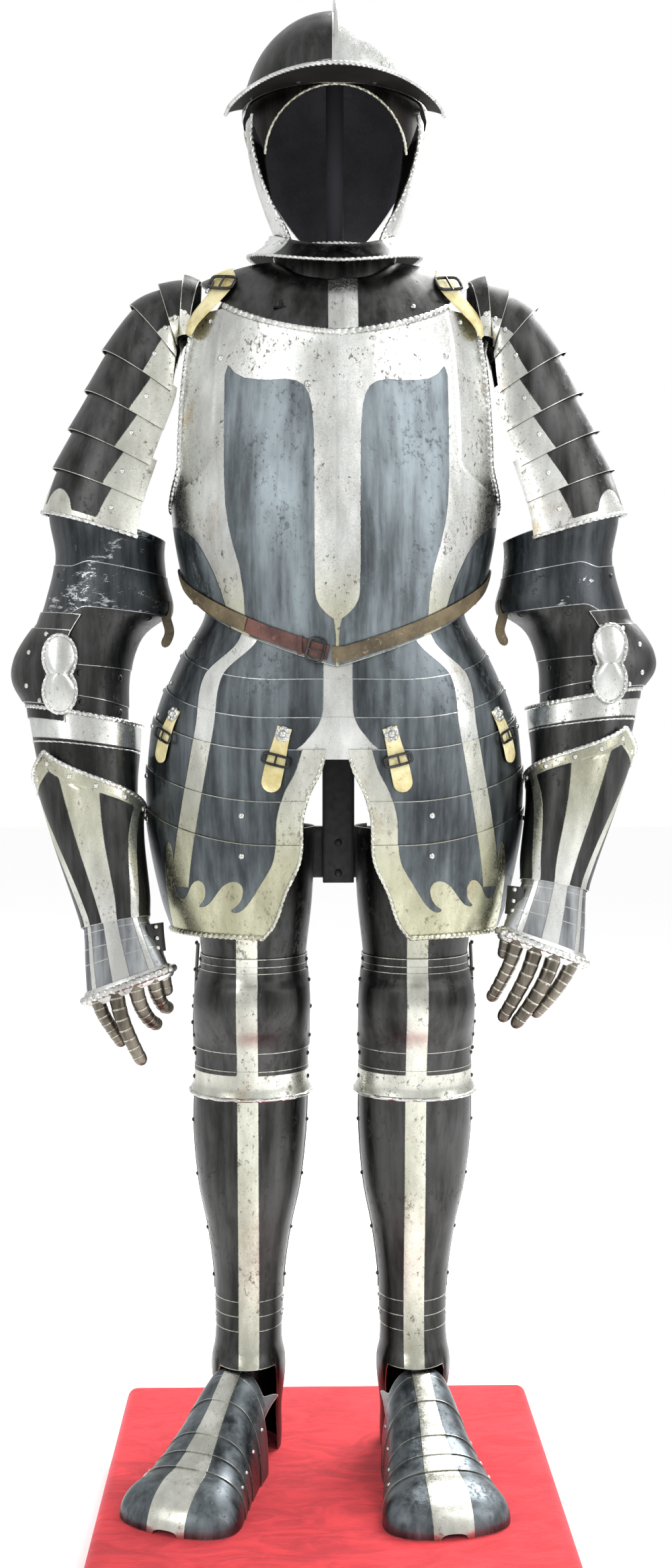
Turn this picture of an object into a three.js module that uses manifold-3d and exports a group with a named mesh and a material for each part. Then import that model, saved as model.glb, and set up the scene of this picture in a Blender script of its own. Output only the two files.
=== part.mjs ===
// A suit of plate armour on its display stand: red covered plinth, black frame, hollow steel plates.
// Millimetres, +Z up, -Y the front, +X the wearer's left. The origin is the centre of the plinth's
// underside. Heights in the tables are above the plinth's top, where the suit stands.

import * as THREE from 'three';
import Module from 'manifold-3d';
import { RoundedBoxGeometry } from 'three/addons/geometries/RoundedBoxGeometry.js';
import { mergeVertices } from 'three/addons/utils/BufferGeometryUtils.js';

const wasm = await Module();
wasm.setup();

// Driving dimensions
const WALL = 1.5; // steel plate
const SEAM = 0.4; // clearance between two plates that lap
const LAP = WALL + SEAM; // rise from one plate to the plate that lies over it
const LEATHER = 2; // straps and belt
const REST = 0.3; // clearance where the suit stands on the plinth
const PLINTH_WIDTH = 577;
const PLINTH_DEPTH = 560;
const PLINTH_HEIGHT = 100;
const PLINTH_EDGE = 14; // rounding of the covered edges
const PLINTH_BACK = 277; // the plinth's back edge, behind the suit's own centre
const BODY_SHIFT = 4; // the upper body stands a little to the wearer's left of the plinth's middle
const LEG_X = 107; // leg centre line, each side
const ARM_LIFT = 45; // the wearer's left hand is held this much higher than the right
const FOOT_TURN = { left: 8, right: 22 }; // degrees outwards

// Materials
const steel = new THREE.MeshStandardMaterial({ color: 0xb4b4b0, roughness: 0.3, metalness: 1 });
const blackened = new THREE.MeshStandardMaterial({ color: 0x2b3036, roughness: 0.4, metalness: 0.9 });
const leather = new THREE.MeshStandardMaterial({ color: 0x5a3a2c, roughness: 0.7, metalness: 0 });
const buff = new THREE.MeshStandardMaterial({ color: 0xc9b56f, roughness: 0.8, metalness: 0 });
const velvet = new THREE.MeshStandardMaterial({ color: 0xa3121b, roughness: 0.95, metalness: 0 });
const paintedSteel = new THREE.MeshStandardMaterial({ color: 0x111214, roughness: 0.6, metalness: 0.2 });

// Small vector and number helpers
const radians = THREE.MathUtils.degToRad;
const lerp = THREE.MathUtils.lerp;
const clamp = THREE.MathUtils.clamp;
const sinOf = (degrees) => Math.sin(radians(degrees));
const cosOf = (degrees) => Math.cos(radians(degrees));
const ease = (from, to, at) => THREE.MathUtils.smoothstep(at, from, to);
const power = (value, exponent) => Math.max(value, 0) ** exponent;
const sideName = (side) => (side > 0 ? 'left' : 'right');

// A list of evenly spaced values, both ends included
function steps(from, to, count) {
  return Array.from({ length: count + 1 }, (_, i) => lerp(from, to, i / count));
}

// A table with named columns, read at any value of its first column along a smooth curve
function table(columns, rows) {
  const names = columns.split(' ');
  const last = rows.length - 1;
  const slope = (row, column) => {
    const before = rows[Math.max(row - 1, 0)];
    const after = rows[Math.min(row + 1, last)];
    return (after[column] - before[column]) / (after[0] - before[0]);
  };
  return (at) => {
    let row = 0;
    while (row < last - 1 && at > rows[row + 1][0]) row += 1;
    const span = rows[row + 1][0] - rows[row][0];
    const t = clamp((at - rows[row][0]) / span, 0, 1);
    const result = {};
    for (let column = 1; column < names.length; column += 1) {
      const start = rows[row][column];
      const end = rows[row + 1][column];
      const m0 = slope(row, column) * span;
      const m1 = slope(row + 1, column) * span;
      result[names[column]] =
        start * (2 * t ** 3 - 3 * t ** 2 + 1) +
        m0 * (t ** 3 - 2 * t ** 2 + t) +
        end * (3 * t ** 2 - 2 * t ** 3) +
        m1 * (t ** 3 - t ** 2);
    }
    return result;
  };
}

// The outward normal of a surface point(u, v), with u running anticlockwise seen from above and v up
function normalAt(point, u, v, stepU, stepV, mirrored) {
  const alongU = new THREE.Vector3(...point(u + stepU, v)).sub(new THREE.Vector3(...point(u - stepU, v)));
  const alongV = new THREE.Vector3(...point(u, v + stepV)).sub(new THREE.Vector3(...point(u, v - stepV)));
  const normal = alongU.cross(alongV);
  if (normal.length() < 1e-9) return new THREE.Vector3(0, 0, 1);
  return normal.normalize().multiplyScalar(mirrored ? -1 : 1);
}

// A closed wall over a grid of the surface: its outer face stands raise(u, v) off the surface
function plate({ point, us, vs, raise = () => 0, wall = WALL, ring = false, mirrored = false }) {
  const countU = us.length;
  const countV = vs.length;
  const stepU = (us[countU - 1] - us[0]) / 2000;
  const stepV = (vs[countV - 1] - vs[0]) / 2000;
  const outer = [];
  const inner = [];
  for (const v of vs) {
    for (const u of us) {
      const normal = normalAt(point, u, v, stepU, stepV, mirrored);
      const base = new THREE.Vector3(...point(u, v));
      const rise = raise(u, v);
      outer.push(base.clone().addScaledVector(normal, rise));
      inner.push(base.clone().addScaledVector(normal, rise - wall));
    }
  }
  const points = [...outer, ...inner];
  const layer = outer.length;
  const faces = [];
  const face = (a, b, c) => faces.push(mirrored ? [a, c, b] : [a, b, c]);
  const quad = (a, b, c, d) => {
    face(a, b, c);
    face(a, c, d);
  };
  const columns = ring ? countU : countU - 1;
  for (let j = 0; j < countV - 1; j += 1) {
    for (let i = 0; i < columns; i += 1) {
      const a = j * countU + i;
      const b = j * countU + ((i + 1) % countU);
      const c = b + countU;
      const d = a + countU;
      quad(a, b, c, d);
      quad(a + layer, d + layer, c + layer, b + layer);
    }
  }
  for (let i = 0; i < columns; i += 1) {
    const next = (i + 1) % countU;
    const top = (countV - 1) * countU;
    quad(i + layer, next + layer, next, i);
    quad(top + i, top + next, top + next + layer, top + i + layer);
  }
  if (!ring) {
    for (let j = 0; j < countV - 1; j += 1) {
      const first = j * countU;
      const end = first + countU - 1;
      quad(first + layer, first, first + countU, first + countU + layer);
      quad(end, end + layer, end + countU + layer, end + countU);
    }
  }
  return closedGeometry(points, faces);
}

// A geometry from points and faces, without the faces that have no area
function closedGeometry(points, faces) {
  const near = (a, b) => points[a].distanceTo(points[b]) < 1e-4;
  const real = faces.filter(([a, b, c]) => !near(a, b) && !near(b, c) && !near(a, c));
  const geometry = new THREE.BufferGeometry();
  const flat = real.flat().flatMap((index) => points[index].toArray());
  geometry.setAttribute('position', new THREE.Float32BufferAttribute(flat, 3));
  return mergeVertices(geometry, 1e-3);
}

// Booleans on closed geometries
function toSolid(geometry) {
  const bare = geometry.clone();
  bare.deleteAttribute('normal');
  bare.deleteAttribute('uv');
  const merged = mergeVertices(bare, 1e-3);
  return new wasm.Manifold(new wasm.Mesh({
    numProp: 3,
    vertProperties: new Float32Array(merged.attributes.position.array),
    triVerts: new Uint32Array(merged.index.array),
  }));
}

function fromSolid(solid) {
  const mesh = solid.getMesh();
  const geometry = new THREE.BufferGeometry();
  geometry.setAttribute('position', new THREE.BufferAttribute(mesh.vertProperties, 3));
  geometry.setIndex(new THREE.BufferAttribute(mesh.triVerts, 1));
  return geometry;
}

function join(...geometries) {
  const whole = geometries.map(toSolid).reduce((sum, solid) => sum.add(solid));
  return fromSolid(whole);
}

// What is left of a geometry outside a cutter, without the small pieces that the cut frees
function largestPiece(geometry, cutter) {
  const pieces = toSolid(geometry).subtract(toSolid(cutter)).decompose();
  return fromSolid(pieces.reduce((best, piece) => (piece.volume() > best.volume() ? piece : best)));
}

// A round bar between two points
function bar(from, to, radius, sides = 8) {
  const start = new THREE.Vector3(...from);
  const end = new THREE.Vector3(...to);
  const geometry = new THREE.CylinderGeometry(radius, radius, start.distanceTo(end), sides);
  const turn = new THREE.Quaternion().setFromUnitVectors(
    new THREE.Vector3(0, 1, 0),
    end.clone().sub(start).normalize(),
  );
  geometry.applyQuaternion(turn);
  const middle = start.add(end).multiplyScalar(0.5);
  geometry.translate(middle.x, middle.y, middle.z);
  return geometry;
}

function block(width, depth, height, x, y, z) {
  const geometry = new THREE.BoxGeometry(width, depth, height);
  geometry.translate(x, y, z);
  return geometry;
}

// A flat strap along the given points of its outer face, which looks along the outward directions
function strap(route, outward, width) {
  const path = new THREE.CatmullRomCurve3(route.map((p) => new THREE.Vector3(...p)));
  const look = new THREE.CatmullRomCurve3(outward.map((p) => new THREE.Vector3(...p)));
  return plate({
    point: (u, v) => {
      const t = clamp(v, 0, 1);
      const along = path.getTangent(t);
      const across = along.clone().cross(look.getPoint(t)).normalize();
      return path.getPoint(t).addScaledVector(along, v - t).addScaledVector(across, u * width / 2).toArray();
    },
    us: [-1, 1],
    vs: steps(0, 1, 2 * route.length),
    wall: LEATHER,
  });
}

// A point of a surface moved out along its normal, with that normal
function movedOut(point, u, v, distance) {
  const out = normalAt(point, u, v, 0.05, 0.01, false);
  const at = new THREE.Vector3(...point(u, v)).addScaledVector(out, distance);
  return { at: at.toArray(), out: out.toArray() };
}

// The groups of the scene
const suit = new THREE.Group();
suit.position.set(2, PLINTH_DEPTH / 2 - PLINTH_BACK, PLINTH_HEIGHT);
const upper = new THREE.Group();
upper.position.x = BODY_SHIFT;
suit.add(upper);
const whole = new THREE.Group();
whole.add(suit);

function add(parent, name, geometry, material) {
  const mesh = new THREE.Mesh(geometry, material);
  mesh.name = name;
  parent.add(mesh);
}

// Trunk: one surface, x to the side, 0 degrees at the front, 90 at the wearer's left
const TRUNK_Y = 5;
const TRUNK_RIDGE = 0.16; // share of the front that runs straight to the middle ridge
const TRUNK = table('z side front back', [
  [1020, 172, 154, 98],
  [1060, 176, 163, 98],
  [1110, 182, 168, 99],
  [1150, 194, 168, 103],
  [1215, 205, 165, 110],
  [1280, 207, 159, 117],
  [1350, 204, 150, 122],
  [1400, 199, 143, 120],
  [1440, 192, 135, 112],
  [1480, 180, 124, 98],
]);

function trunk(angle, z) {
  const row = TRUNK(z);
  const forward = cosOf(angle);
  const x = row.side * sinOf(angle);
  if (forward < 0) return [x, TRUNK_Y - row.back * forward, z];
  const ridged = lerp(forward, 1 - Math.abs(sinOf(angle)), TRUNK_RIDGE);
  return [x, TRUNK_Y - row.front * ridged, z];
}

// Breastplate: pointed waist, rolled neckline and arm edges
const WAIST_POINT = 1030;
const WAIST_RISE = 104; // from the point up to the sides
const NECKLINE = 1423;
const NECK_RISE = 44; // from the middle of the neckline to the shoulder corners
const CHEST_ANGLE = 47; // the plate's edge at chest height
const SIDE_ANGLE = 93; // its edge below the arm
const RIM = 1.6; // height of a rolled or roped edge

const waistEdge = (angle) => WAIST_POINT + WAIST_RISE * (Math.min(Math.abs(angle), 100) / 90) ** 1.15;
const chestShare = (angle) => Math.min(Math.abs(angle), CHEST_ANGLE) / CHEST_ANGLE;
const neckEdge = (angle) => NECKLINE + NECK_RISE * chestShare(angle) ** 1.5;
const chestEdge = (z) => lerp(SIDE_ANGLE, CHEST_ANGLE, ease(1175, 1285, z));

const breastEdge = (v) => chestEdge(lerp(WAIST_POINT + WAIST_RISE / 2, NECKLINE + NECK_RISE, v));

function breastPoint(u, v) {
  const angle = u * breastEdge(v);
  return trunk(angle, lerp(waistEdge(angle), neckEdge(angle), v));
}

const HALF_COLUMNS = [0.08, 0.25, 0.44, 0.62, 0.8, 0.9, 1];
const BREAST_COLUMNS = [...HALF_COLUMNS.map((u) => -u).reverse(), 0, ...HALF_COLUMNS];
const BREAST_ROWS = [0, 0.14, 0.28, 0.34, 0.4, 0.46, 0.55, 0.75, 0.965, 0.968, 1];
const GUSSET_SINK = LAP + 2.3;
add(upper, 'breastplate', plate({
  point: breastPoint,
  us: BREAST_COLUMNS,
  vs: BREAST_ROWS,
  raise: (u, v) => (v > 0.967 ? RIM : 0),
}), steel);

// Gussets close the arm openings under the breastplate's edge: u up to 1 lies under the breastplate
const gussetOuter = (z) => lerp(90, 68, ease(1205, 1285, z));

for (const side of [-1, 1]) {
  const point = (u, v) => {
    const edge = breastEdge(v);
    const height = (angle) => lerp(waistEdge(angle), neckEdge(angle), v);
    const rim = height(edge);
    const angle = u <= 1 ? u * edge : lerp(edge, Math.max(gussetOuter(rim), edge + 1), u - 1);
    const [x, y, z] = trunk(angle, height(Math.min(angle, edge)));
    return [side * x, y, z];
  };
  add(upper, `gusset_${sideName(side)}`, plate({
    point,
    us: [0.8, 0.9, 1, 1.4, 1.75, 1.76, 2],
    vs: BREAST_ROWS.filter((v) => v >= 0.28 && v !== 0.968),
    raise: (u) => (u > 1.755 ? RIM : 0) - GUSSET_SINK,
    mirrored: side < 0,
  }), steel);
}

// Backplate, from side to side behind, with neck and arm openings
const BACK_NECK = 1462;
const BACK_SHOULDER = 1486;
const BACK_BOTTOM = 1112;
const BACK_COLUMNS = steps(-1, 1, 14);
const BACK_SINK = LAP + 1.4; // the backplate lies under the breastplate's side edges
const backArm = (z) => lerp(87, 118, ease(1195, 1290, z));

add(upper, 'backplate', plate({
  point: (u, v) => {
    const nominal = lerp(BACK_BOTTOM, BACK_SHOULDER, v);
    const angle = 180 + u * (180 - backArm(nominal));
    const middle = 1 - ease(0, 45, Math.abs(angle - 180));
    return trunk(angle, lerp(BACK_BOTTOM, BACK_SHOULDER - (BACK_SHOULDER - BACK_NECK) * middle, v));
  },
  us: BACK_COLUMNS,
  vs: steps(0, 1, 7),
  raise: () => -BACK_SINK,
}), blackened);

// Gorget: collar round the neck, front and back plates over the shoulders
const COLLAR_TOP = 1545;
const GORGET = table('angle reach height neck', [
  [0, 131, 1404, 1500],
  [30, 133, 1418, 1508],
  [60, 147, 1466, 1528],
  [90, 171, 1514, 1540],
  [120, 136, 1492, 1534],
  [150, 110, 1450, 1524],
  [180, 103, 1432, 1520],
]);
const NECK_SIDE = 78;
const NECK_DEPTH = 76;
const awayFromFront = (angle) => Math.abs(((angle + 180) % 360 + 360) % 360 - 180);

function gorgetPoint(angle, v) {
  const edge = GORGET(awayFromFront(angle));
  return [
    lerp(edge.reach, NECK_SIDE, v) * sinOf(angle),
    TRUNK_Y - lerp(edge.reach * 0.97, NECK_DEPTH, v) * cosOf(angle),
    lerp(edge.height, edge.neck, 1 - power(1 - v, 1.6)),
  ];
}

const SEAM_ANGLE = 89.9;
for (const [name, from, to] of [
  ['gorget_front', -SEAM_ANGLE, SEAM_ANGLE],
  ['gorget_back', 180 - SEAM_ANGLE, 180 + SEAM_ANGLE],
]) {
  add(upper, name, plate({
    point: gorgetPoint,
    us: steps(from, to, 14),
    vs: [0, 0.25, 0.5, 0.75, 1],
  }), blackened);
}

const COLLAR_INSET = 3;
add(upper, 'gorget_collar', plate({
  point: (angle, v) => {
    const bottom = GORGET(awayFromFront(angle)).neck - 5;
    return [
      (NECK_SIDE - COLLAR_INSET) * sinOf(angle),
      TRUNK_Y - (NECK_DEPTH - COLLAR_INSET) * cosOf(angle),
      lerp(bottom, COLLAR_TOP, v),
    ];
  },
  us: steps(0, 340, 17),
  vs: [0, 1],
  raise: (angle, v) => 2.2 * power(1 - v, 3),
  ring: true,
}), blackened);

// Helmet: skull, peak, cheekpieces and neck guard share one egg-shaped head surface
const HEAD_Y = 8;
const HEAD = table('z side front back', [
  [1530, 84, 84, 92],
  [1560, 78, 80, 86],
  [1600, 92, 92, 98],
  [1650, 108, 104, 112],
  [1700, 116, 112, 120],
  [1740, 114, 112, 120],
  [1780, 100, 102, 108],
  [1810, 78, 82, 86],
  [1832, 46, 52, 54],
  [1841, 8, 8, 8],
]);
const BROW = 1714;
const SKULL_NAPE = 1577.6; // just above the neck guard
const SKULL_TOP = 1841;

function headPoint(angle, z) {
  const row = HEAD(z);
  const depth = cosOf(angle) > 0 ? row.front : row.back;
  return [row.side * sinOf(angle), HEAD_Y - depth * cosOf(angle), z];
}

const skullEdge = (angle) => lerp(BROW, SKULL_NAPE, ease(88, 165, awayFromFront(angle)));

const skull = plate({
  point: (angle, v) => {
    const t = 1 - power(1 - v, 1.35);
    const z = lerp(skullEdge(angle), SKULL_TOP, t);
    if (v >= 1) return [0, HEAD_Y, SKULL_TOP];
    return headPoint(angle, Math.min(z, SKULL_TOP - 0.01));
  },
  us: steps(0, 342, 19),
  vs: [0, 0.2, 0.42, 0.65, 0.87, 1],
  ring: true,
});

// The comb runs over the skull from the brow to the nape, highest at the crown
const COMB_HEIGHT = 27;
const COMB_THICK = 4;
const combOutline = new THREE.Shape();
const combSteps = steps(-1, 1, 10);
const combPoint = (t, rise) => {
  const angle = t * 72;
  const height = rise * cosOf(angle * 1.18);
  const radiusZ = 117 + height;
  const radiusY = 112 + height;
  return new THREE.Vector2(HEAD_Y + radiusY * sinOf(angle), 1723 + radiusZ * cosOf(angle));
};
combSteps.forEach((t, i) => {
  const p = combPoint(t, COMB_HEIGHT);
  if (i === 0) combOutline.moveTo(p.x, p.y);
  else combOutline.lineTo(p.x, p.y);
});
for (const t of [...combSteps].reverse()) {
  const p = combPoint(t, -6);
  combOutline.lineTo(p.x, p.y);
}
const comb = new THREE.ExtrudeGeometry(combOutline, { depth: COMB_THICK, bevelEnabled: false });
comb.translate(0, 0, -COMB_THICK / 2);
comb.rotateX(Math.PI / 2);
comb.rotateZ(Math.PI / 2);
add(upper, 'helmet_skull', join(skull, comb), steel);

// Peak: a broad brim over the face
const PEAK_ROOM = 0.9; // between the skull and the peak's root
const PEAK_REACH = 78;
const PEAK_SIDE = 78; // degrees round to each side
add(upper, 'helmet_peak', plate({
  point: (angle, v) => {
    const spread = power(cosOf(angle * 90 / PEAK_SIDE), 0.7);
    const out = PEAK_REACH * (1 - v) * Math.max(spread, 0.12);
    const row = HEAD(BROW + 8);
    const x = (row.side + PEAK_ROOM + out * 0.35) * sinOf(angle);
    const y = HEAD_Y - (row.front + PEAK_ROOM + out) * cosOf(angle);
    return [x, y, BROW + 10 * power(v, 0.6) + 2 * (1 - v)];
  },
  us: steps(-PEAK_SIDE, PEAK_SIDE, 14),
  vs: [0, 0.1, 0.5, 1],
  raise: (angle, v) => (v < 0.05 ? RIM : 0),
}), steel);

// Cheekpieces: hinged under the skull's edge, each runs from the face to behind the ear
const CHEEK_FRONT = table('z angle', [
  [1548, 46],
  [1575, 55],
  [1610, 63],
  [1650, 67],
  [1690, 68],
  [1712, 63],
]);
const CHEEK_SIDE = 90;
const CHEEK_BACK = 126;
const CHEEK_SINK = LAP + 2.8; // the cheekpieces lie inside the skull's edge
for (const side of [-1, 1]) {
  const point = (u, v) => {
    const z = lerp(1548, 1709, v);
    const angle = u < 0.5
      ? lerp(CHEEK_FRONT(z).angle, CHEEK_SIDE, 2 * u)
      : lerp(CHEEK_SIDE, CHEEK_BACK, 2 * u - 1);
    const [x, y] = headPoint(angle, z);
    return [side * x, y, z];
  };
  add(upper, `helmet_cheek_${sideName(side)}`, plate({
    point,
    us: [0, 0.1, 0.11, 0.3, 0.5, 0.75, 1],
    vs: steps(0, 1, 6),
    raise: (u) => (u < 0.105 ? RIM : 0) - CHEEK_SINK,
    mirrored: side < 0,
  }), steel);
}

// Neck guard: the skull runs down at the back and flares over the gorget all round
const FLARE_TOP = 1577;
const FLARE_BOTTOM = 1551;
const FLARE_DROP = 35; // lower in front than at the sides
const FLARE_REACH = 30;
const FLARE_ROOM = 1.3;
add(upper, 'helmet_neck_guard', plate({
  point: (angle, v) => {
    const out = FLARE_REACH * power(1 - v, 1.4);
    const drop = FLARE_DROP * (1 - ease(0, 110, awayFromFront(angle)));
    const base = HEAD(Math.max(lerp(FLARE_BOTTOM, FLARE_TOP, v) - drop, 1556));
    const depth = cosOf(angle) > 0 ? base.front : base.back;
    return [
      (base.side + FLARE_ROOM + out) * sinOf(angle),
      HEAD_Y - (depth + FLARE_ROOM + out) * cosOf(angle),
      lerp(FLARE_BOTTOM, FLARE_TOP, v) - drop,
    ];
  },
  us: steps(0, 342, 19),
  vs: [0, 0.35, 0.7, 1],
  ring: true,
}), steel);

// Fauld and tassets: lames that lap upwards, each over the one above it
const SKIRT_Y = 5;
const SKIRT = table('z side front back', [
  [690, 200, 128, 96],
  [740, 218, 136, 104],
  [828, 236, 146, 110],
  [894, 240, 150, 112],
  [930, 238, 152, 112],
  [972, 232, 156, 110],
  [1018, 216, 156, 106],
  [1060, 196, 154, 100],
  [1100, 174, 150, 92],
  [1140, 172, 148, 92],
]);
const SKIRT_ANGLE = 100;
const SKIRT_LAP = LAP + 0.4; // these lames are long, so they lap with more room
const SKIRT_SINK = 9.6; // the first lame lies this far inside the skirt's outline
const TASSET_LIFT = 0.6; // extra room between the last fauld lame and the tassets

function skirtPoint(angle, z) {
  const row = SKIRT(z);
  const forward = cosOf(angle);
  const depth = forward > 0 ? row.front : row.back;
  return [row.side * sinOf(angle), SKIRT_Y - depth * forward, z];
}

// Heights of the lame edges at the front; they climb towards the sides
const lameRise = (angle) => 46 * ease(20, 100, Math.abs(angle));
const FAULD_EDGES = [1004, 958, 920];
const FAULD_LAP = 12;
FAULD_EDGES.forEach((bottom, i) => {
  const top = i === 0 ? 1066 : FAULD_EDGES[i - 1] + FAULD_LAP;
  const topEdge = (angle) => (i === 0 ? Math.min(waistEdge(angle) + 26, 1130) : top + lameRise(angle));
  add(upper, `fauld_lame_${i + 1}`, plate({
    point: (angle, v) => skirtPoint(angle, lerp(bottom + lameRise(angle), topEdge(angle), v)),
    us: steps(-SKIRT_ANGLE, SKIRT_ANGLE, 18),
    vs: i === 0 ? [0, 0.33, 0.66, 1] : [0, 0.5, 1],
    raise: () => i * SKIRT_LAP - SKIRT_SINK,
  }), blackened);
});

// Tassets: three plates a side over the thigh, the last one long with a curved inner edge
const TASSET_EDGES = [
  { top: 920 + 12, bottom: 858 },
  { top: 858 + 12, bottom: 806 },
  { top: 806 + 12, bottom: 705 },
];
const tassetInner = table('z angle', [
  [690, 30],
  [720, 21],
  [760, 16],
  [800, 11],
  [850, 10],
  [880, 8],
  [905, 5],
  [935, 3],
]);
for (const side of [-1, 1]) {
  TASSET_EDGES.forEach(({ top, bottom }, i) => {
    const point = (u, v) => {
      const nominal = lerp(bottom, top, v);
      const angle = lerp(tassetInner(nominal).angle, 84, u);
      const rise = i === 2 ? lameRise(angle) * v : lameRise(angle);
      const [x, y, z] = skirtPoint(angle, nominal + rise);
      return [side * x, y, z];
    };
    add(upper, `tasset_${sideName(side)}_${i + 1}`, plate({
      point,
      us: steps(0, 1, 9),
      vs: i === 2 ? [0, 0.05, 0.06, 0.35, 0.7, 1] : [0, 0.5, 1],
      raise: (u, v) => (i + 3) * SKIRT_LAP + TASSET_LIFT - SKIRT_SINK + (i === 2 && v < 0.055 ? RIM : 0),
      mirrored: side < 0,
    }), blackened);
  });
}

// Waist belt over the breastplate's lower edge
const BELT_ROOM = 1.5; // between the breastplate and the belt
const BELT_RISE = 4; // the belt's lower edge above the breastplate's
const BELT_WIDTH = 19;
add(upper, 'waist_belt', plate({
  point: (angle, v) => {
    const edge = waistEdge(Math.min(awayFromFront(angle), 92));
    return trunk(angle, edge + BELT_RISE + BELT_WIDTH * v);
  },
  us: [...BREAST_COLUMNS.map((u) => u * SIDE_ANGLE), ...BACK_COLUMNS.slice(1, -1).map((u) => 180 + u * 87)],
  vs: [0, 1],
  raise: () => BELT_ROOM + LEATHER,
  wall: LEATHER,
  ring: true,
}), leather);

// Arm: one surface from the shoulder (0) to the knuckles (18), in sections across the limb.
// tilt leans a section's outer side up; 0 degrees is the outer side, -90 the front.
const ARM = table('k x y z tilt pitch side front back', [
  [0, 178, 10, 1462, 100, 0, 57, 56, 58],
  [1, 191, 10, 1460, 94, 0, 58, 57, 60],
  [2, 202, 11, 1449, 74, 0, 60, 58, 62],
  [3, 212, 12, 1432, 51, 0, 65, 60, 64],
  [4, 226, 12, 1386, 34, 0, 74, 62, 66],
  [5, 244, 12, 1341, 29, 0, 75, 64, 68],
  [6, 262, 11, 1296, 26, 0, 76, 66, 69],
  [7, 278, 10, 1252, 22, 0, 77, 68, 70],
  [8, 288, 10, 1205, 17, 0, 77, 69, 71],
  [9, 283, 10, 1158, 10, 0, 72, 66, 68],
  [10, 286, 9, 1107, 6, 0, 80, 70, 70],
  [10.5, 308, 8, 1074, 4, 0, 70, 66, 68],
  [11, 320, 6, 1032, 4, -2, 70, 64, 68],
  [12, 316, 0, 968, 10, -4, 72, 62, 66],
  [13, 308, -18, 890, 0, -8, 60, 54, 56],
  [14, 296, -34, 820, -6, -10, 51, 46, 48],
  [15, 278, -44, 745, -10, -11, 44, 38, 38],
  [16, 272, -50, 712, -11, -11, 42, 32, 33],
  [17, 264, -56, 674, -16, -10, 48, 26, 26],
  [18, 256, -60, 640, -21, -8, 54, 22, 22],
  [18.6, 251, -62, 620, -24, -7, 54, 21, 21],
]);

function armPoint(side, angle, k) {
  const row = ARM(k);
  const depth = angle < 0 && angle > -180 ? row.front : row.back;
  const across = row.side * cosOf(angle);
  const back = depth * sinOf(angle);
  const lift = side > 0 ? ARM_LIFT * ease(9, 15, k) : 0;
  return [
    side * (row.x + across * cosOf(row.tilt)),
    row.y + back * cosOf(row.pitch),
    row.z + lift + across * sinOf(row.tilt) + back * sinOf(row.pitch),
  ];
}

// The wall runs from k at its lower edge to k at its upper edge, so v is minus k
function armPlate(side, from, to, angles, rows, raise, wall = WALL) {
  return plate({
    point: (angle, v) => armPoint(side, angle, -v),
    us: angles,
    vs: rows.map((t) => -lerp(from, to, t)),
    raise: (angle, v) => raise(angle, (-v - from) / (to - from)),
    mirrored: side < 0,
    wall,
  });
}

// Angles round an arm, folded to -180..180, and the columns that all its tubes share
const turned = (angle) => ((angle + 180) % 360 + 360) % 360 - 180;
const ARM_RING = [0, 25, 50, 76, 104, 135, 165, 195, 225, 256, 284, 310, 335];
const COP_HEIGHT = 16;
const WRIST_LAMES = [0.405, 0.605, 0.805]; // steps up the hand from the knuckles
const CUFF_POINT = -50; // degrees, towards the front from the outer side
const CUFF_TOP = 12.6;
const CUFF_FLARE = 6;

// Fingers: place across the knuckles, radius, then how far each joint lies from the knuckle,
// towards the outer side, backwards and up
const FINGERS = {
  right: [
    { place: 0.76, radius: 8.5, joints: [[-8, -2, -22], [-20, 4, -44], [-32, 10, -64]] },
    { place: 0.3, radius: 9.5, joints: [[-8, -2, -34], [-20, 2, -66], [-34, 8, -96]] },
    { place: -0.16, radius: 9.5, joints: [[-8, 3, -30], [-18, 14, -50], [-28, 30, -60]] },
    { place: -0.6, radius: 9, joints: [[-5, 6, -24], [-12, 20, -42], [-18, 38, -48]] },
  ],
  left: [
    { place: 0.76, radius: 8.5, joints: [[-14, -4, -26], [-32, 0, -52], [-50, 8, -74]] },
    { place: 0.3, radius: 9.5, joints: [[-14, -6, -34], [-32, -2, -66], [-52, 6, -96]] },
    { place: -0.16, radius: 9.5, joints: [[-12, -4, -34], [-28, 2, -68], [-44, 10, -98]] },
    { place: -0.6, radius: 9, joints: [[-10, 0, -30], [-22, 8, -58], [-34, 18, -82]] },
  ],
};
const THUMB = { radius: 11, sink: 2, joints: [[-9, 4, -28], [-16, 8, -52], [-20, 10, -74]] };
const FINGER_SINK = 6.6; // depth of a finger's root inside the knuckle bar
const SCALES = 2; // lames down a finger

// A finger is a half tube of lames along its joints, open at the palm, with a rounded end
function finger(side, start, joints, radius, facing) {
  const route = [start, ...joints.map(([x, y, z]) => [start[0] + side * x, start[1] + y, start[2] + z])];
  const curve = new THREE.CatmullRomCurve3(route.map((p) => new THREE.Vector3(...p)));
  const rows = [1];
  for (let i = SCALES - 1; i >= 0; i -= 1) rows.push((i + 0.98) / SCALES - 0.02, i / SCALES);
  return plate({
    point: (angle, v) => {
      const t = clamp(-v, 0, 1);
      const middle = curve.getPoint(t);
      const down = curve.getTangent(t);
      const out = new THREE.Vector3(...facing).projectOnPlane(down).normalize();
      const across = down.clone().cross(out);
      const size = radius * (t > 0.99 ? 0.3 : 1 - 0.2 * t);
      return middle
        .addScaledVector(out, size * cosOf(angle))
        .addScaledVector(across, -size * sinOf(angle))
        .addScaledVector(down, -(t + v))
        .toArray();
    },
    us: steps(-105, 105, 3),
    vs: rows.map((t) => -t),
    raise: (angle, v) => (v < -0.99 ? 0 : 0.9 * ((-v * SCALES) % 1)),
  });
}

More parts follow.
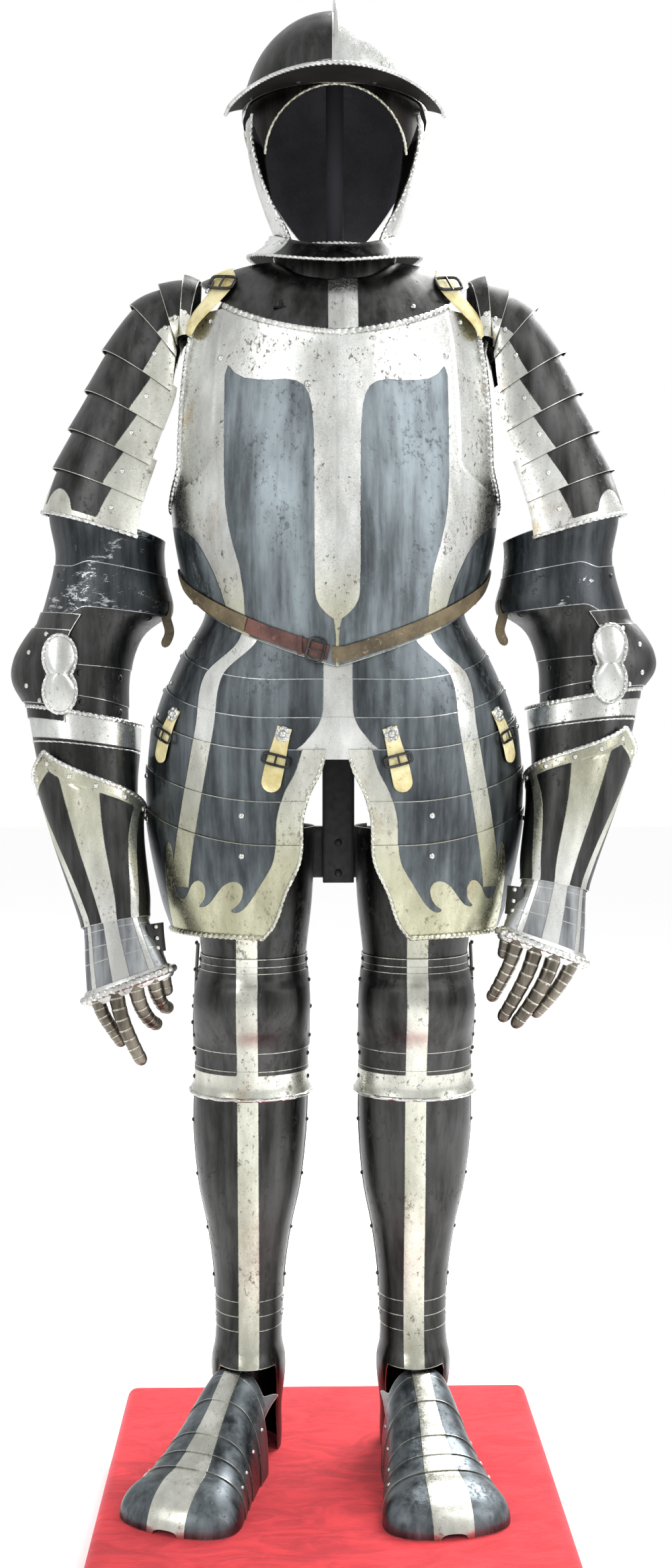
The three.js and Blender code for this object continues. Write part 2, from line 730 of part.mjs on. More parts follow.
function fingers(side) {
  return FINGERS[sideName(side)].map(({ place, radius, joints }) => {
    const angle = -THREE.MathUtils.radToDeg(Math.acos(place));
    const [x, y, z] = armPoint(side, angle, 17.98);
    return finger(side, [x, y + radius - FINGER_SINK, z], joints, radius, [0, -1, 0]);
  });
}

function thumb(side) {
  const [x, y, z] = armPoint(side, -176, 16.7);
  const start = [x + side * (THUMB.radius - THUMB.sink), y + THUMB.sink, z];
  return finger(side, start, THUMB.joints, THUMB.radius, [-side, -0.5, 0]);
}

// Pauldron: eight lames in four pairs, each lame's flared lower edge over the next
const LAME_BACK = 100; // degrees round the arm, behind
const LAME_FRONT = [112, 112, 119, 125]; // and in front, by pair
const FLARE = 5; // at the outer side
for (const side of [-1, 1]) {
  for (let pair = 0; pair < 4; pair += 1) {
    const first = 2 * pair;
    const overlap = 0.22;
    const room = LAP * (pair === 0 ? 1.36 : 1.08);
    const flareAt = (angle) => room + FLARE * power(cosOf(angle * 0.9), 2);
    const angles = steps(-LAME_FRONT[pair], LAME_BACK, 10);
    const start = first === 0 ? 0 : first - overlap;
    const drop = 0.03;
    const end = first + 2;
    const rows = [end, first + 1 + drop, first + 1, start].map((k) => (k - end) / (start - end));
    const raise = (angle, t) => {
      const k = lerp(end, start, t);
      const inFirst = k < first + 1 + drop / 2;
      const share = inFirst ? (k - start) / (first + 1 - start) : k - first - 1;
      const base = inFirst ? 0 : 0.2 * flareAt(angle);
      return Math.max(base, flareAt(angle) * share) - (k < first ? 1.1 : 0);
    };
    const name = `pauldron_${sideName(side)}_${pair + 1}`;
    add(upper, name, armPlate(side, end, start, angles, rows, raise), blackened);
  }

  // Upper cannon: tube inside the last lame, with a longer strip down its outer side
  add(upper, `upper_cannon_${sideName(side)}`, plate({
    point: (angle, v) => {
      const outside = 1 - ease(50, 76, Math.abs(turned(angle)));
      return armPoint(side, turned(angle), lerp(lerp(10.05, 10.42, outside), 7.75, v));
    },
    us: ARM_RING,
    vs: [0, 0.2, 0.45, 0.46, 0.75, 1],
    raise: (angle, v) => (v < 0.455 ? 0 : -1.1),
    ring: true,
    mirrored: side < 0,
  }), blackened);

  // Couter: elbow cop with a ring above and below
  add(upper, `couter_${sideName(side)}`, armPlate(
    side,
    12.15,
    10.2,
    [-76, -50, -25, 0, 25, 50, 76, 90],
    [0, 0.12, 0.25, 0.4, 0.55, 0.7, 0.85, 1],
    (angle, t) => LAP + 0.8
      + COP_HEIGHT * sinOf(180 * clamp((t - 0.1) / 0.8, 0, 1)) * power(cosOf(angle - 12), 1.5),
  ), blackened);

  // Inner elbow lames, from under the couter round the bend of the arm
  add(upper, `elbow_lames_${sideName(side)}`, armPlate(
    side,
    12.15,
    10.36,
    [-190, -165, -135, -104, -80, -62],
    [0, 0.3, 0.31, 0.64, 0.65, 1],
    (angle, t) => {
      if (t < 0.305) return -5;
      return lerp(-6, -0.6, ease(-100, -70, angle)) + (t > 0.645 ? -0.2 : 0);
    },
  ), blackened);

  // Lower cannon: full tube with a roped upper edge
  add(upper, `lower_cannon_${sideName(side)}`, plate({
    point: (angle, v) => armPoint(side, turned(angle), lerp(15.6, 11.95, v)),
    us: ARM_RING,
    vs: [0, 0.35, 0.7, 0.95, 0.955, 1],
    raise: (angle, v) => (v > 0.952 ? RIM - 1 : 0),
    ring: true,
    mirrored: side < 0,
  }), blackened);

  // Gauntlet cuff: flares over the lower cannon to a point beside its middle
  add(upper, `gauntlet_cuff_${sideName(side)}`, plate({
    point: (angle, v) => {
      const beside = Math.abs(turned(angle - CUFF_POINT)) / 180;
      return armPoint(side, turned(angle), lerp(15.9, CUFF_TOP + 1.15 * power(beside, 0.8), v));
    },
    us: ARM_RING,
    vs: [0, 0.3, 0.6, 0.9, 0.91, 1],
    raise: (angle, v) => LAP + CUFF_FLARE * power(v, 1.2) + (v > 0.905 ? 1 : 0),
    ring: true,
    mirrored: side < 0,
  }), blackened);

  // Hand: wrist lames and back plate, open at the palm, with the thumb plate at the inner edge
  const hand = armPlate(
    side,
    17.9,
    15.72,
    steps(-205, 25, 8),
    [0, 0.4, 0.41, 0.6, 0.61, 0.8, 0.81, 1],
    (angle, t) => -1.3 + 0.4 * WRIST_LAMES.filter((edge) => t < edge).length,
  );
  add(upper, `gauntlet_hand_${sideName(side)}`, join(hand, thumb(side)), blackened);

  // Knuckle bar over the back plate's edge, with the four scaled fingers
  const knuckles = armPlate(
    side,
    18.3,
    17.75,
    steps(-176, -4, 6),
    [0, 0.3, 0.7, 1],
    (angle, t) => LAP + 4 * sinOf(180 * t),
  );
  add(upper, `gauntlet_fingers_${sideName(side)}`, join(knuckles, ...fingers(side)), steel);
}

// Legs: one surface from the sole (0) to the thigh, 0 degrees at the front, 90 at the outer side
const LEG = table('z y x side front back', [
  [0, 78, 0, 42, 48, 49],
  [20, 78, 0, 43, 48, 49],
  [60, 70, 1, 44, 46, 46],
  [105, 64, 2, 50, 60, 48],
  [128, 63, 2, 50, 63, 48],
  [150, 62, 2, 46, 53, 47],
  [190, 62, 1, 45, 47, 46],
  [240, 62, 1, 46, 48, 48],
  [300, 60, 1, 54, 54, 58],
  [360, 57, 1, 66, 60, 70],
  [432, 54, 1, 73, 62, 77],
  [490, 48, 0, 73, 62, 76],
  [545, 40, -1, 70, 62, 72],
  [605, 32, -1, 66, 64, 70],
  [665, 26, -3, 67, 66, 72],
  [740, 20, -2, 76, 74, 80],
  [835, 16, 0, 82, 82, 86],
]);

function legPoint(side, angle, z) {
  const row = LEG(z);
  const depth = Math.abs(turned(angle)) < 90 ? row.front : row.back;
  const lean = BODY_SHIFT * ease(200, 700, z);
  return [lean + side * (LEG_X + row.x + row.side * sinOf(angle)), row.y - depth * cosOf(angle), z];
}

const CUISSE_BOTTOM = 652;
const CUISSE_TOP = 832;
const GREAVE_TOP = 528;
const ANKLE_LAMES = [213, 194, 175];
const INSTEP = 129; // the greave's lower edge in front
const instepEdge = (angle) => lerp(INSTEP, REST, ease(48, 67, Math.abs(turned(angle))));
// Heights on the knee and how far each plate stands off the leg
const POLEYN_ROWS = [
  [486, 7], [492, 6.4], [498, LAP + 0.8], [550, LAP + 0.8], [550.5, 2 * LAP + 1], [552, 2 * LAP + 1],
  [575, 12], [605, 17], [632, 12], [645, 2 * LAP + 0.6], [645.5, LAP + 1.2], [668, LAP + 1.2],
];
const LEG_RING = [0, 22, 45, 67, 90, 112, 135, 157, 180, 203, 225, 248, 270, 293, 315, 338];

// Sabaton: foot rows by the distance ahead of the ankle's centre
const ANKLE_Y = 62;
const SABATON = table('ahead half height', [
  [0, 48, 138],
  [34, 50, 132],
  [62, 53, 122],
  [97, 56, 99],
  [140, 63, 70],
  [175, 71, 51],
  [205, 78, 46],
  [226, 74, 38],
  [240, 60, 28],
  [248, 40, 17],
  [252, 16, 7],
]);
const SABATON_LAMES = [62, 92, 132, 155, 178];
const SABATON_TOE = 252;
const SHOE_POWER = 0.77; // squareness of the foot's cross-section

function solePoint(side, u, ahead) {
  const row = SABATON(ahead);
  const turn = FOOT_TURN[sideName(side)];
  const across = row.half * Math.sign(u) * power(Math.abs(sinOf(u)), SHOE_POWER);
  return [
    side * (LEG_X + ahead * sinOf(turn) + across * cosOf(turn)),
    ANKLE_Y - ahead * cosOf(turn) + across * sinOf(turn),
    REST + row.height * power(cosOf(u), SHOE_POWER),
  ];
}

for (const side of [-1, 1]) {
  add(suit, `cuisse_${sideName(side)}`, plate({
    point: (angle, z) => legPoint(side, angle, z),
    us: [-128, -112, -90, -67, -45, -22, 0, 22, 45, 67, 90, 112, 128],
    vs: [CUISSE_BOTTOM, 690, 735, 785, CUISSE_TOP],
    mirrored: side < 0,
  }), blackened);

  const kneeRaise = (angle, z) => {
    const row = POLEYN_ROWS.find(([height]) => Math.abs(height - z) < 0.2);
    const round = ease(110, 40, Math.abs(angle));
    return row[1] <= 2 * LAP + 1 ? row[1] : lerp(2 * LAP + 1, row[1], round);
  };
  add(suit, `poleyn_${sideName(side)}`, plate({
    point: (angle, z) => legPoint(side, angle, z),
    us: [-112, -90, -67, -45, -22, 0, 22, 45, 67, 90, 112],
    vs: POLEYN_ROWS.map(([height]) => height),
    raise: kneeRaise,
    mirrored: side < 0,
  }), blackened);

  const greave = (below, room) => plate({
    point: (angle, v) => {
      const height = v < 1 ? lerp(instepEdge(angle) - below, ANKLE_LAMES[2], v) : v;
      return legPoint(side, turned(angle), height);
    },
    us: LEG_RING,
    vs: [0, 0.999, ANKLE_LAMES[1], ANKLE_LAMES[1] + 0.6, ANKLE_LAMES[0], ANKLE_LAMES[0] + 0.6,
      280, 360, 450, GREAVE_TOP],
    raise: (angle, v) => room + 0.5 * ANKLE_LAMES.filter((z) => v > z + 0.3).length - 1.5,
    wall: WALL + 2 * room,
    ring: true,
    mirrored: side < 0,
  });
  add(suit, `greave_${sideName(side)}`, greave(0, 0), blackened);

  const rows = [SABATON_TOE, 245, 228, SABATON_LAMES.at(-1) + 0.6];
  for (let i = SABATON_LAMES.length - 1; i > 0; i -= 1) {
    rows.push(SABATON_LAMES[i], SABATON_LAMES[i - 1] + 0.6);
  }
  rows.push(SABATON_LAMES[0], 50);
  const shoe = plate({
    point: (u, v) => {
      const rear = lerp(50, 4, ease(45, 62, Math.abs(u)));
      const ahead = v > -62 ? lerp(62, rear, (62 + v) / 12) : -v;
      return solePoint(side, u, ahead);
    },
    us: [-90, -75, -60, -45, -22, 0, 22, 45, 60, 75, 90],
    vs: rows.map((ahead) => -ahead),
    raise: (u, v) => {
      const lame = SABATON_LAMES.findIndex((ahead) => ahead > -v - 0.3);
      if (lame < 1) return 0;
      const [start, end] = [SABATON_LAMES[lame - 1], SABATON_LAMES[lame]];
      return 1.4 * clamp((-v - start) / (end - start), 0, 1);
    },
    mirrored: side < 0,
  });
  add(suit, `sabaton_${sideName(side)}`, largestPiece(shoe, greave(1, SEAM)), blackened);
}

const SHOULDER_STRAP = 27;
const TASSET_STRAP = 22;
const TASSET_STRAPS = [
  { name: 'inner', angle: 15.5, bottomAngle: 19.5, top: 958, bottom: 882, room: 0.6 },
  { name: 'outer', angle: 60, bottomAngle: 65, top: 958, bottom: 888, room: -0.4 },
];
const trunkOut = (angle, z, distance) => movedOut(trunk, angle, z, distance);
const gorgetOut = (angle, v, distance) => movedOut(gorgetPoint, angle, v, distance);
const skirtOut = (angle, z, distance) => (
  movedOut(skirtPoint, angle, z + lameRise(angle), distance - SKIRT_SINK + LEATHER)
);

// Shoulder and tasset straps lie on the plates' own points, moved out
for (const side of [-1, 1]) {
  const mirror = ([x, y, z]) => [side * x, y, z];
  const route = [
    trunkOut(122, 1462, 4),
    gorgetOut(112, 0.12, 5),
    gorgetOut(96, 0.3, 4),
    gorgetOut(80, 0.3, 4),
    gorgetOut(64, 0.12, 6),
    trunkOut(57, 1452, 7),
    trunkOut(60, 1436, 5.6),
  ];
  const laid = (places, width) => strap(
    places.map(({ at }) => mirror(at)),
    places.map(({ out }) => mirror(out)),
    width,
  );
  add(upper, `shoulder_strap_${sideName(side)}`, laid(route, SHOULDER_STRAP), buff);

  for (const { name, angle, bottomAngle, top, bottom, room } of TASSET_STRAPS) {
    const places = [
      skirtOut(angle, top, 2 * SKIRT_LAP + room),
      skirtOut(lerp(angle, bottomAngle, 0.33), lerp(top, bottom, 0.33), 3 * SKIRT_LAP + TASSET_LIFT + room),
      skirtOut(lerp(angle, bottomAngle, 0.66), lerp(top, bottom, 0.66), 4 * SKIRT_LAP + TASSET_LIFT + room),
      skirtOut(bottomAngle, bottom, 4 * SKIRT_LAP + TASSET_LIFT + room),
    ];
    add(upper, `tasset_strap_${name}_${sideName(side)}`, laid(places, TASSET_STRAP), buff);
  }
}

// Plinth: a box covered in velvet, with soft edges
const plinthGeometry = new RoundedBoxGeometry(PLINTH_WIDTH, PLINTH_DEPTH, PLINTH_HEIGHT, 1, PLINTH_EDGE);
plinthGeometry.translate(0, 0, PLINTH_HEIGHT / 2);
add(whole, 'plinth', plinthGeometry, velvet);

// Frame: leg rods up to a hip bar, a flat post up the back, a shoulder bar and a neck rod
const ROD = 11; // radius of the round rods
const FOOT_DISC = { radius: 26, height: 5 };
const LEG_ROD_Y = ANKLE_Y + 6;
const LEG_ROD_BEND = 320; // the leg rods lean back above this height
const HIP_BAR = { y: 82, z: 793, depth: 12, height: 68, width: 250 };
const POST = { x: 10, y: 71, width: 42, depth: 12, bottom: 753, top: 1425 };
const SHOULDER_BAR = { z: 1526.4, width: 210, depth: 26, height: 10 };
const NECK_TOP = 1832.1;
const frameParts = [
  block(HIP_BAR.width, HIP_BAR.depth, HIP_BAR.height, BODY_SHIFT, HIP_BAR.y, HIP_BAR.z),
  block(POST.width, POST.depth, POST.top - POST.bottom, POST.x, POST.y, (POST.top + POST.bottom) / 2),
  block(POST.width, POST.y - HEAD_Y + 14, 10, BODY_SHIFT + 2, (POST.y + HEAD_Y) / 2, POST.top - 5),
  bar([BODY_SHIFT, HEAD_Y, POST.top - 8], [BODY_SHIFT, HEAD_Y, NECK_TOP], ROD),
  block(SHOULDER_BAR.width, SHOULDER_BAR.depth, SHOULDER_BAR.height, BODY_SHIFT, HEAD_Y, SHOULDER_BAR.z),
];
for (const side of [-1, 1]) {
  const foot = [side * LEG_X, LEG_ROD_Y, REST];
  const bend = [side * LEG_X, LEG_ROD_Y, LEG_ROD_BEND];
  const hip = [BODY_SHIFT + side * LEG_X, HIP_BAR.y - 2, HIP_BAR.z];
  frameParts.push(bar(foot, [bend[0], bend[1], LEG_ROD_BEND + 10], ROD));
  frameParts.push(bar(bend, hip, ROD));
  frameParts.push(bar(foot, [foot[0], foot[1], REST + FOOT_DISC.height], FOOT_DISC.radius, 10));
}
add(suit, 'stand_frame', join(...frameParts), paintedSteel);

export default whole;
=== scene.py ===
# A suit of plate armour on its display stand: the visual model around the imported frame.
# Tables are in millimetres in the suit's own frame, as in the part's source. The left side is +1, at +X.

import math
from types import SimpleNamespace

import bpy
import numpy as np
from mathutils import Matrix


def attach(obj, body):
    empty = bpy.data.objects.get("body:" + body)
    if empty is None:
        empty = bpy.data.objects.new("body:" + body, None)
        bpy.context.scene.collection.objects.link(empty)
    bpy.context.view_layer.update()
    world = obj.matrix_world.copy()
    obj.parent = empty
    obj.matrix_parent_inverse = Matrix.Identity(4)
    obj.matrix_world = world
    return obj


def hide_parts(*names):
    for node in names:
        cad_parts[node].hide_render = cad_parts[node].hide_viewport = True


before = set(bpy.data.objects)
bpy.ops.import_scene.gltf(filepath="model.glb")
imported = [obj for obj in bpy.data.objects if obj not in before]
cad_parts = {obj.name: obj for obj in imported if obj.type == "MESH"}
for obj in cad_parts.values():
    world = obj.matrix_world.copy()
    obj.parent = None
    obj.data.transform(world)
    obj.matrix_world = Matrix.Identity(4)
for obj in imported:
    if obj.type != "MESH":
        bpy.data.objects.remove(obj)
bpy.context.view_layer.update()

# Driving dimensions
WALL = 1.5
LAP = 1.9
LEATHER = 2.0
PLINTH = (577, 560, 100)
SUIT = np.array([2.0, 3.0, 100.0])
UPPER = np.array([6.0, 3.0, 100.0])
LEG_X = 107
ARM_LIFT = 45
FOOT_TURN = {1: 8, -1: 22}
SIDES = (-1, 1)

# A plate's bright value is the distance inside its bright steel: these are bright or dark all over
ALL_BRIGHT = 8.0
ALL_DARK = -9.0
FAR_FROM_EDGE = 9.0

# Angles round a ring, without its repeated end
ROUND = np.linspace(0, 356, 90)
FINE_ROUND = np.linspace(0, 357, 120)


# Numbers and curves
def sin(degrees):
    return np.sin(np.radians(degrees))


def cos(degrees):
    return np.cos(np.radians(degrees))


def lerp(a, b, t):
    return a + (b - a) * t


def ease(a, b, x):
    t = np.clip((np.asarray(x, float) - a) / (b - a), 0, 1)
    return t * t * (3 - 2 * t)


def power(value, exponent):
    return np.maximum(value, 0) ** exponent


def folded(angle):
    """An angle brought between -180 and 180 degrees."""
    return (angle + 180) % 360 - 180


def from_front(angle):
    return np.abs(folded(angle))


def unit(v):
    return v / np.maximum(np.linalg.norm(v, axis=-1, keepdims=True), 1e-9)


def side_name(side):
    return "left" if side > 0 else "right"


def table(columns, rows):
    """A table read at any value of its first column along a smooth curve."""
    names = columns.split()
    data = np.array(rows, float)
    keys = data[:, 0]
    last = len(keys) - 1
    before = np.maximum(np.arange(last + 1) - 1, 0)
    after = np.minimum(np.arange(last + 1) + 1, last)
    slopes = (data[after] - data[before]) / (keys[after] - keys[before])[:, None]

    def at(value):
        value = np.asarray(value, float)
        row = np.clip(np.searchsorted(keys, value, side="left") - 1, 0, last - 1)
        span = keys[row + 1] - keys[row]
        t = np.clip((value - keys[row]) / span, 0, 1)
        result = {}
        for c, name in enumerate(names[1:], 1):
            result[name] = (
                data[row, c] * (2 * t**3 - 3 * t**2 + 1)
                + slopes[row, c] * span * (t**3 - 2 * t**2 + t)
                + data[row + 1, c] * (3 * t**2 - 2 * t**3)
                + slopes[row + 1, c] * span * (t**3 - t**2)
            )
        return SimpleNamespace(**result)

    return at


def polygon_distance(x, z, corners):
    """Signed distance to a closed outline in the x, z plane: positive inside."""
    pts = np.array(corners, float)
    nxt = np.roll(pts, -1, axis=0)
    best = np.full(np.shape(x), 1e9)
    inside = np.zeros(np.shape(x), bool)
    for (ax, az), (bx, bz) in zip(pts, nxt):
        ex, ez = bx - ax, bz - az
        t = np.clip(((x - ax) * ex + (z - az) * ez) / (ex * ex + ez * ez), 0, 1)
        best = np.minimum(best, np.hypot(x - ax - t * ex, z - az - t * ez))
        crosses = (az > z) != (bz > z)
        with np.errstate(divide="ignore", invalid="ignore"):
            at = ax + (z - az) * ex / np.where(ez == 0, 1e-9, ez)
        inside ^= crosses & (x < at)
    return np.where(inside, best, -best)


def smooth_outline(corners):
    """A closed outline with its corners cut off, for soft curves."""
    pts = np.array(corners, float)
    nxt = np.roll(pts, -1, axis=0)
    return np.stack([pts * 0.75 + nxt * 0.25, pts * 0.25 + nxt * 0.75], 1).reshape(-1, 2)


def spline(points, count):
    """A smooth open curve through the points, with count samples."""
    pts = np.array(points, float)
    padded = np.vstack([2 * pts[0] - pts[1], pts, 2 * pts[-1] - pts[-2]])
    t = np.linspace(0, len(pts) - 1 - 1e-9, count)
    i = t.astype(int)
    f = (t - i)[:, None]
    a, b, c, d = padded[i], padded[i + 1], padded[i + 2], padded[i + 3]
    return 0.5 * (2 * b + (c - a) * f + (2 * a - 5 * b + 4 * c - d) * f**2 + (3 * b - a - 3 * c + d) * f**3)


def run_length(path):
    """The length along a path up to each of its points."""
    return np.concatenate([[0], np.cumsum(np.linalg.norm(np.diff(path, axis=0), axis=1))])


def sampled(where, known, points):
    """Points read at new places along the values known for them."""
    return np.stack([np.interp(where, known, points[:, k]) for k in range(3)], 1)


# Materials
class Graph:
    """A short way to write a material's nodes."""

    def __init__(self, name):
        self.material = bpy.data.materials.new(name)
        self.material.use_nodes = True
        self.tree = self.material.node_tree
        self.tree.nodes.clear()
        self.out = self.tree.nodes.new("ShaderNodeOutputMaterial")
        self.object = self.node("ShaderNodeTexCoord").outputs["Object"]

    def node(self, kind, inputs=None, **settings):
        made = self.tree.nodes.new(kind)
        for key, value in settings.items():
            setattr(made, key, value)
        for key, value in (inputs or {}).items():
            self.put(made.inputs[key], value)
        return made

    def put(self, socket, value):
        if isinstance(value, bpy.types.NodeSocket):
            self.tree.links.new(value, socket)
        else:
            socket.default_value = value

    def noise(self, scale, detail=4, stretch=(1, 1, 1), rough=0.6, warp=0):
        where = self.node("ShaderNodeMapping", {0: self.object, 3: stretch}).outputs[0]
        return self.node(
            "ShaderNodeTexNoise",
            {"Vector": where, "Scale": scale, "Detail": detail, "Roughness": rough, "Distortion": warp},
        ).outputs[0]

    def range(self, value, low, high, to_low=0.0, to_high=1.0):
        return self.node(
            "ShaderNodeMapRange", {0: value, 1: low, 2: high, 3: to_low, 4: to_high},
            interpolation_type="SMOOTHSTEP",
        ).outputs[0]

    def math(self, operation, a, b=0.0):
        return self.node("ShaderNodeMath", {0: a, 1: b}, operation=operation).outputs[0]

    def add(self, a, b):
        return self.math("ADD", a, b)

    def times(self, a, b):
        return self.math("MULTIPLY", a, b)

    def larger(self, a, b):
        return self.math("MAXIMUM", a, b)

    def jitter(self, noise, amount):
        """A noise moved to swing round zero."""
        return self.times(self.math("SUBTRACT", noise, 0.5), amount)

    def mix(self, factor, a, b):
        made = self.tree.nodes.new("ShaderNodeMix")
        made.data_type = "RGBA"
        self.put(made.inputs[0], factor)
        self.put(made.inputs[6], a)
        self.put(made.inputs[7], b)
        return made.outputs[2]

    def attribute(self, name):
        return self.node("ShaderNodeAttribute", attribute_name=name).outputs["Fac"]

    def bump(self, height, strength, distance, normal=None):
        inputs = {"Height": height, "Strength": strength, "Distance": distance}
        if normal:
            inputs["Normal"] = normal
        return self.node("ShaderNodeBump", inputs).outputs[0]

    def finish(self, **inputs):
        shader = self.tree.nodes.new("ShaderNodeBsdfPrincipled")
        for key, value in inputs.items():
            self.put(shader.inputs[key.replace("_", " ")], value)
        self.tree.links.new(shader.outputs[0], self.out.inputs[0])
        return self.material


def rgb(red, green, blue):
    return (red, green, blue, 1)


SILVER = (rgb(0.4, 0.405, 0.385), rgb(0.74, 0.75, 0.73))
GOLDEN = (rgb(0.3, 0.295, 0.2), rgb(0.6, 0.595, 0.45))
PIT = rgb(0.12, 0.1, 0.085)
RUST = rgb(0.32, 0.24, 0.14)
FLAKE = rgb(0.52, 0.54, 0.55)
SCUFF = rgb(0.22, 0.23, 0.24)
BORDER_LINE = rgb(0.03, 0.03, 0.032)
INSIDE = (rgb(0.012, 0.011, 0.011), rgb(0.04, 0.037, 0.035))


def steel_material(name, dark_low, dark_high, chips=0.0, pitting=0.75):
    """Bright pitted steel and dark blued steel, split by the mesh's own bright distance."""
    g = Graph(name)
    fine = g.noise(420, 4)
    bright = g.range(g.add(g.attribute("bright"), g.jitter(g.noise(260, 3), 1.2)), -0.45, 0.45)

    # blued steel: soft streaks down it
    streaks = g.noise(34, 6, (1.6, 1.6, 0.16), 0.62)
    cloud = g.noise(9, 5, (1, 1, 0.55), 0.6)
    cast = g.add(g.times(streaks, 0.55), g.times(cloud, 0.45))
    dark = g.mix(g.range(cast, 0.36, 0.68), dark_low, dark_high)

    # bright steel: silver or golden, with pits and rust
    pocks = g.times(g.noise(170, 6, (1, 1, 0.75), 0.8), 0.7)
    pits = g.range(g.add(pocks, g.times(g.noise(19, 4, rough=0.7), 0.3)), 0.545, 0.61)
    shade = g.range(g.noise(20, 5, (1, 1, 0.35)), 0.3, 0.75)
    silver = g.mix(g.attribute("warm"), g.mix(shade, *SILVER), g.mix(shade, *GOLDEN))
    silver = g.mix(g.times(pits, pitting), silver, PIT)
    silver = g.mix(g.range(g.noise(13, 6, (1, 1, 0.8), 0.7), 0.58, 0.72, 0.0, 0.55), silver, RUST)

    # the blueing is worn off at the edges, scuffed and flaked
    worn = g.range(g.add(g.attribute("edge"), g.jitter(fine, 1.4)), 0.5, 1.1, 1.0, 0.0)
    scuffs = g.range(g.noise(75, 6, (1, 1, 0.35), 0.75, 0.4), 0.66, 0.72, 0.0, 0.35)
    show = g.larger(bright, g.times(worn, 0.85))
    if chips:
        flakes = g.range(g.times(g.noise(90, 8, (0.6, 0.6, 1.5), 0.82, 0.8),
                                 g.range(g.noise(9, 3), 0.42, 0.62, 0.7, 1.12)), 0.6, 0.62)
        show = g.larger(show, g.times(flakes, chips))
        silver = g.mix(g.math("SUBTRACT", 1.0, bright), silver, FLAKE)
    colour = g.mix(show, g.mix(scuffs, dark, SCUFF), silver)
    line = g.range(g.math("ABSOLUTE", g.attribute("bright")), 0.1, 0.75, 1.0, 0.0)
    colour = g.mix(g.times(line, 0.5), colour, BORDER_LINE)
    colour = g.mix(g.attribute("inside"), colour, g.mix(g.noise(40, 4), *INSIDE))

    rough = g.mix(show, g.range(streaks, 0.3, 0.7, 0.3, 0.46), g.range(fine, 0.3, 0.7, 0.22, 0.38))
    rough = g.add(rough, g.times(pits, 0.25))
    rough = g.larger(rough, g.times(g.attribute("inside"), 0.62))
    relief = g.bump(g.add(g.times(fine, 0.1), g.times(pits, -0.8)), 0.25, 0.0005)
    relief = g.bump(g.noise(11, 3, (1, 1, 0.5)), 0.28, 0.004, relief)
    relief = g.bump(bright, 0.5, 0.0005, relief)
    return g.finish(Base_Color=colour, Metallic=1.0, Roughness=rough, Normal=relief)


def leather_material(name, low, high, crack):
    g = Graph(name)
    blotch = g.range(g.noise(22, 6, rough=0.65), 0.3, 0.72)
    grain = g.node("ShaderNodeTexVoronoi", {"Vector": g.object, "Scale": 750}).outputs[0]
    cracks = g.range(g.noise(110, 6, rough=0.75, warp=0.8), 0.58, 0.68)
    colour = g.mix(g.times(cracks, 0.7), g.mix(blotch, low, high), crack)
    rough = g.range(g.noise(300, 5), 0.3, 0.7, 0.5, 0.78)
    relief = g.bump(grain, 0.35, 0.0005)
    relief = g.bump(g.noise(60, 5, warp=0.5), 0.55, 0.0018, relief)
    return g.finish(Base_Color=colour, Roughness=rough, Normal=relief)


def velvet_material():
    g = Graph("velvet")
    pile = g.noise(900, 3)
    brushed = g.noise(13, 5, (1, 2.2, 1), 0.7, 1.2)
    colour = g.mix(g.range(brushed, 0.36, 0.66), rgb(0.4, 0.008, 0.014), rgb(0.72, 0.03, 0.038))
    colour = g.mix(g.range(pile, 0.35, 0.8), colour, rgb(0.52, 0.014, 0.022))
    relief = g.bump(pile, 0.6, 0.0012)
    relief = g.bump(brushed, 0.35, 0.004, relief)
    return g.finish(Base_Color=colour, Roughness=0.85, Normal=relief, Sheen_Weight=0.7, Sheen_Roughness=0.35,
                    Sheen_Tint=rgb(1.0, 0.35, 0.4))


def paint_material(name, low, high, matt=0.0):
    g = Graph(name)
    wear = g.range(g.noise(70, 6, rough=0.75), 0.64, 0.7)
    colour = g.mix(g.times(wear, 0.5 * (1 - matt)), g.mix(g.noise(30, 4), low, high), rgb(0.07, 0.07, 0.072))
    rough = g.range(g.noise(120, 4), 0.3, 0.7, 0.42 + matt, 0.62 + 0.6 * matt)
    return g.finish(Base_Color=colour, Roughness=rough, Normal=g.bump(g.noise(500, 3), 0.2, 0.0005),
                    Specular_IOR_Level=0.5 * (1 - matt))


# Copies of one steel, each part's dark steel made as bright as that part looks: the differences between them
# are partly the steel's own tone and partly painted light and shade, brighter on the lit parts and darker on
# the shaded ones.
STEEL = steel_material("limb_steel", rgb(0.021, 0.021, 0.02), rgb(0.082, 0.083, 0.082))
SKIRT_STEEL = steel_material("skirt_steel", rgb(0.04, 0.045, 0.049), rgb(0.17, 0.195, 0.21), pitting=0.6)
CANNON = steel_material("chipped_steel", rgb(0.02, 0.022, 0.024), rgb(0.085, 0.092, 0.098), chips=0.8)
HAND = steel_material("hand_steel", rgb(0.1, 0.106, 0.118), rgb(0.42, 0.435, 0.44), pitting=0.5)
SCALES = steel_material("finger_steel", rgb(0.06, 0.05, 0.04), rgb(0.26, 0.23, 0.19))
SHELL = steel_material("breast_steel", rgb(0.062, 0.07, 0.076), rgb(0.24, 0.28, 0.3), pitting=0.95)
# Near-black steel for the wall under the helmet's peak: partly rust, partly painted shade from the peak.
DARK = steel_material("rust_and_painted_shade_steel", rgb(0.008, 0.007, 0.007), rgb(0.035, 0.03, 0.027))
BROWN = leather_material("brown_leather", rgb(0.04, 0.028, 0.013), rgb(0.17, 0.13, 0.07),
                         rgb(0.3, 0.24, 0.14))
RED = leather_material("red_leather", rgb(0.05, 0.018, 0.014), rgb(0.15, 0.06, 0.045), rgb(0.25, 0.13, 0.1))
BUFF = leather_material("buff_leather", rgb(0.42, 0.34, 0.12), rgb(0.8, 0.73, 0.45), rgb(0.26, 0.18, 0.07))
